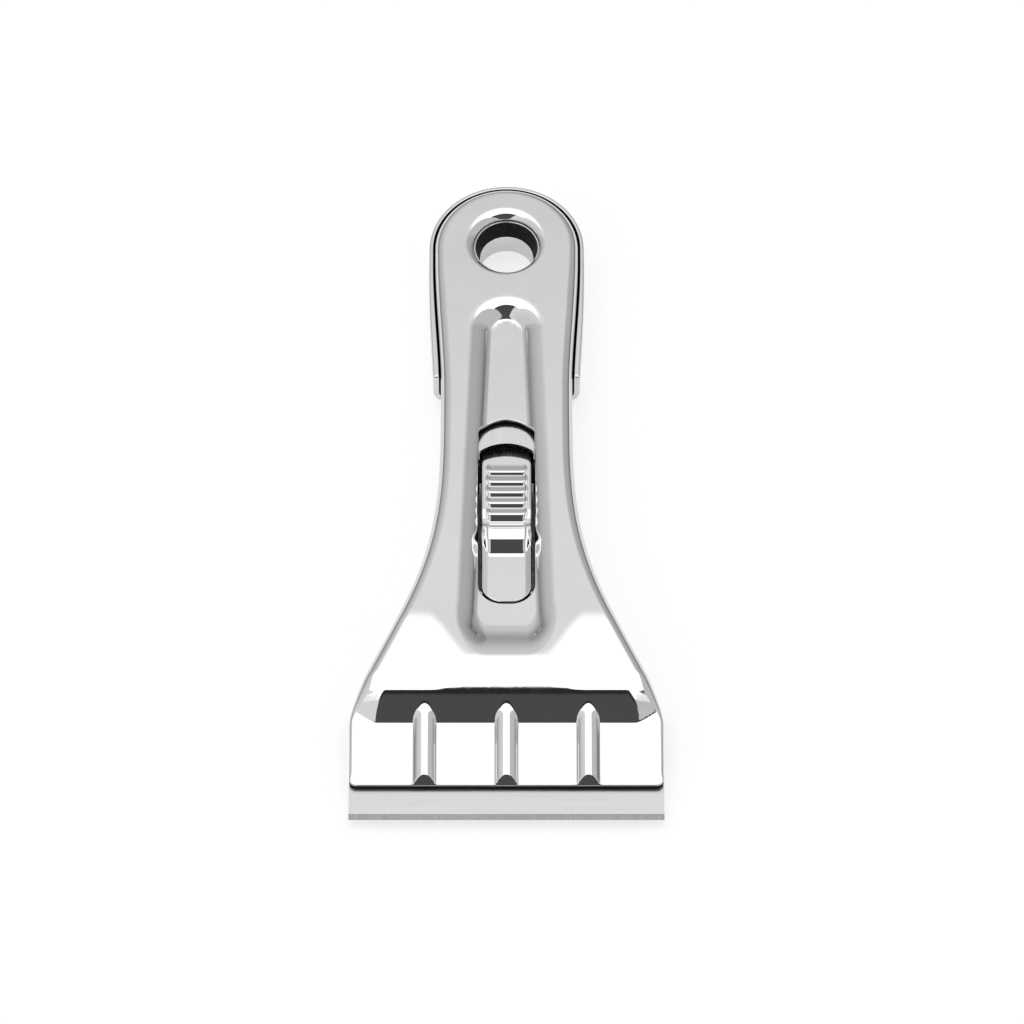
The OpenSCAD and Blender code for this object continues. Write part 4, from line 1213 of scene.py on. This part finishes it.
def studio_level(graph):
    """Brightness of the room: pale walls, a soft box overhead, a dark opening in front."""
    x, y, z = graph.axes("Generated")
    over = graph.calc("ARCTAN2", z, y)
    side = graph.calc("ARCTAN2", x, z)
    far = graph.calc("ADD", graph.step(over, FAR_CLIMB, BASE_LEVEL, FAR_LEVEL),
                     graph.step(over, FAR_RISE_SPAN, 0, FAR_RISE))
    right = graph.calc("ADD", graph.step(side, RIGHT_SPAN, 1, RIGHT_SHARE),
                       graph.step(side, RIGHT_EDGE_SPAN, 0, -RIGHT_EDGE_DROP))
    left = graph.calc("ADD", graph.step(side, LEFT_SPAN, -LEFT_DROP, 0),
                      graph.step(side, LEFT_EDGE_SPAN, -LEFT_EDGE_DROP, 0))
    level = graph.calc("MULTIPLY", far, graph.calc("ADD", right, left))
    aside = graph.calc("ABSOLUTE", side)
    box = graph.calc("MULTIPLY", graph.band(over, (BOX_START, BOX_END), (BOX_START_SOFT, BOX_END_SOFT)),
                     graph.step(aside, around(BOX_HALF, BOX_SIDE_SOFT), 1, 0))
    level = graph.blend(level, BOX_LEVEL, box)
    opening = graph.calc("MULTIPLY", graph.band(over, (BOX_END, DARK_END), (BOX_END_SOFT, DARK_END_SOFT)),
                         graph.band(side, DARK_SIDES, (DARK_SIDE_SOFT, DARK_SIDE_SOFT)))
    dark = graph.step(over, DARK_EDGE_SPAN, DARK_EDGE, DARK_LEVEL)
    return graph.blend(level, dark, opening)


def studio():
    scene = bpy.context.scene
    scene.view_settings.view_transform = "Standard"
    world = bpy.data.worlds.new("studio")
    scene.world = world
    world.use_nodes = True
    graph = Graph(world.node_tree)
    graph.nodes.clear()
    rays = graph.nodes.new("ShaderNodeLightPath")
    strength = graph.blend(studio_level(graph), 1.0, rays.outputs["Is Camera Ray"])
    room = graph.nodes.new("ShaderNodeBackground")
    room.inputs["Color"].default_value = (1, 1, 1, 1)
    graph.links.new(strength, room.inputs["Strength"])
    out = graph.nodes.new("ShaderNodeOutputWorld")
    graph.links.new(room.outputs[0], out.inputs["Surface"])


def floor():
    """Plain white floor: pale paper that keeps the shadow, raised to white where it is seen or mirrored."""
    mesh = bpy.data.meshes.new("floor")
    corners = [(x * FLOOR_HALF, y * FLOOR_HALF, 0) for x, y in ((-1, -1), (1, -1), (1, 1), (-1, 1))]
    mesh.from_pydata(corners, [], [(0, 1, 2, 3)])
    piece = bpy.data.objects.new("floor", mesh)
    bpy.context.scene.collection.objects.link(piece)
    paper = Finish("floor_paper", metallic=0.0)
    paper.shader.inputs["Base Color"].default_value = (FLOOR_TINT, FLOOR_TINT, FLOOR_TINT, 1)
    paper.shader.inputs["Roughness"].default_value = 1.0
    paper.shader.inputs["Specular IOR Level"].default_value = 0.0
    paper.shader.inputs["Emission Color"].default_value = (1, 1, 1, 1)
    rays = paper.nodes.new("ShaderNodeLightPath").outputs
    mirrored = paper.calc("MAXIMUM", rays["Is Glossy Ray"], rays["Is Transmission Ray"])
    glow = paper.calc("MULTIPLY", mirrored, MIRRORED_GLOW)
    paper.feed("Emission Strength", paper.blend(glow, FLOOR_GLOW, rays["Is Camera Ray"]))
    mesh.materials.append(paper.material)


def camera():
    data = bpy.data.cameras.new("camera")
    data.lens = CAMERA_LENS
    data.sensor_width = CAMERA_SENSOR
    data.clip_start = CAMERA_NEAR
    piece = bpy.data.objects.new("camera", data)
    piece.location = CAMERA_PLACE
    piece.rotation_euler = (math.radians(CAMERA_TILT), 0, 0)
    bpy.context.scene.collection.objects.link(piece)
    bpy.context.scene.camera = piece


# The scene

def place(piece, body, slot, materials, node):
    """Gives a piece its finishes and body, and hides the CAD node that it stands for."""
    for material in materials:
        piece.data.materials.append(material)
    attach(piece, body)
    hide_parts(node)


def dress(material, *names):
    """Gives CAD nodes that stay their finish."""
    for name in names:
        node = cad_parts[name]
        node.data.materials.clear()
        node.data.materials.append(material)


studio()
floor()
camera()

chrome = plated("chrome_plate", dark=(0.92, 0.922, 0.928), light=(0.955, 0.956, 0.958),
                rough=(0.03, 0.06), wave=1.2e-6)
# Painted shade: near-black for gaps, hidden skirts and undersides, and dark for the flare inside the
# hanging hole.
painted_shade_black = shade("seam_shade", dark=(0.006, 0.006, 0.006), light=(0.016, 0.016, 0.015))
painted_flare_shade = shade("flare_shade", dark=(0.02, 0.0195, 0.017), light=(0.05, 0.048, 0.042))
dull = brushed("dull_plate", dark=(0.62, 0.61, 0.6), light=(0.74, 0.735, 0.725),
               rough=(0.45, 0.6), stretch=(1, 0.3, 1))
zinc = strip_zinc()
spring = brushed("spring_steel", dark=(0.3, 0.31, 0.33), light=(0.42, 0.43, 0.45),
                 rough=(0.2, 0.34), stretch=LONG_MARKS)
rivet = plated("rivet_steel", dark=(0.62, 0.62, 0.62), light=(0.72, 0.72, 0.715),
               rough=(0.18, 0.3), wave=2e-6)

place(upper_shell(), "housing", "upper_chrome", (chrome, painted_shade_black), "upper_shell")
place(lower_shell(), "housing", "lower_chrome", (chrome, painted_shade_black, dull), "lower_shell")
place(eyelet(), "housing", "eyelet_chrome", (chrome, painted_flare_shade), "hanging_eyelet")
place(thumb_button(), "button", "button_chrome", (chrome, painted_shade_black), "thumb_button")
dress(blade_steel(), "blade")
dress(zinc, "blade_carrier")
dress(spring, "blade_clamp", "button_spring", "detent_spring")
dress(rivet, "blade_studs", "clamp_rivets", "spring_rivets", "detent_rivets", "button_pin")
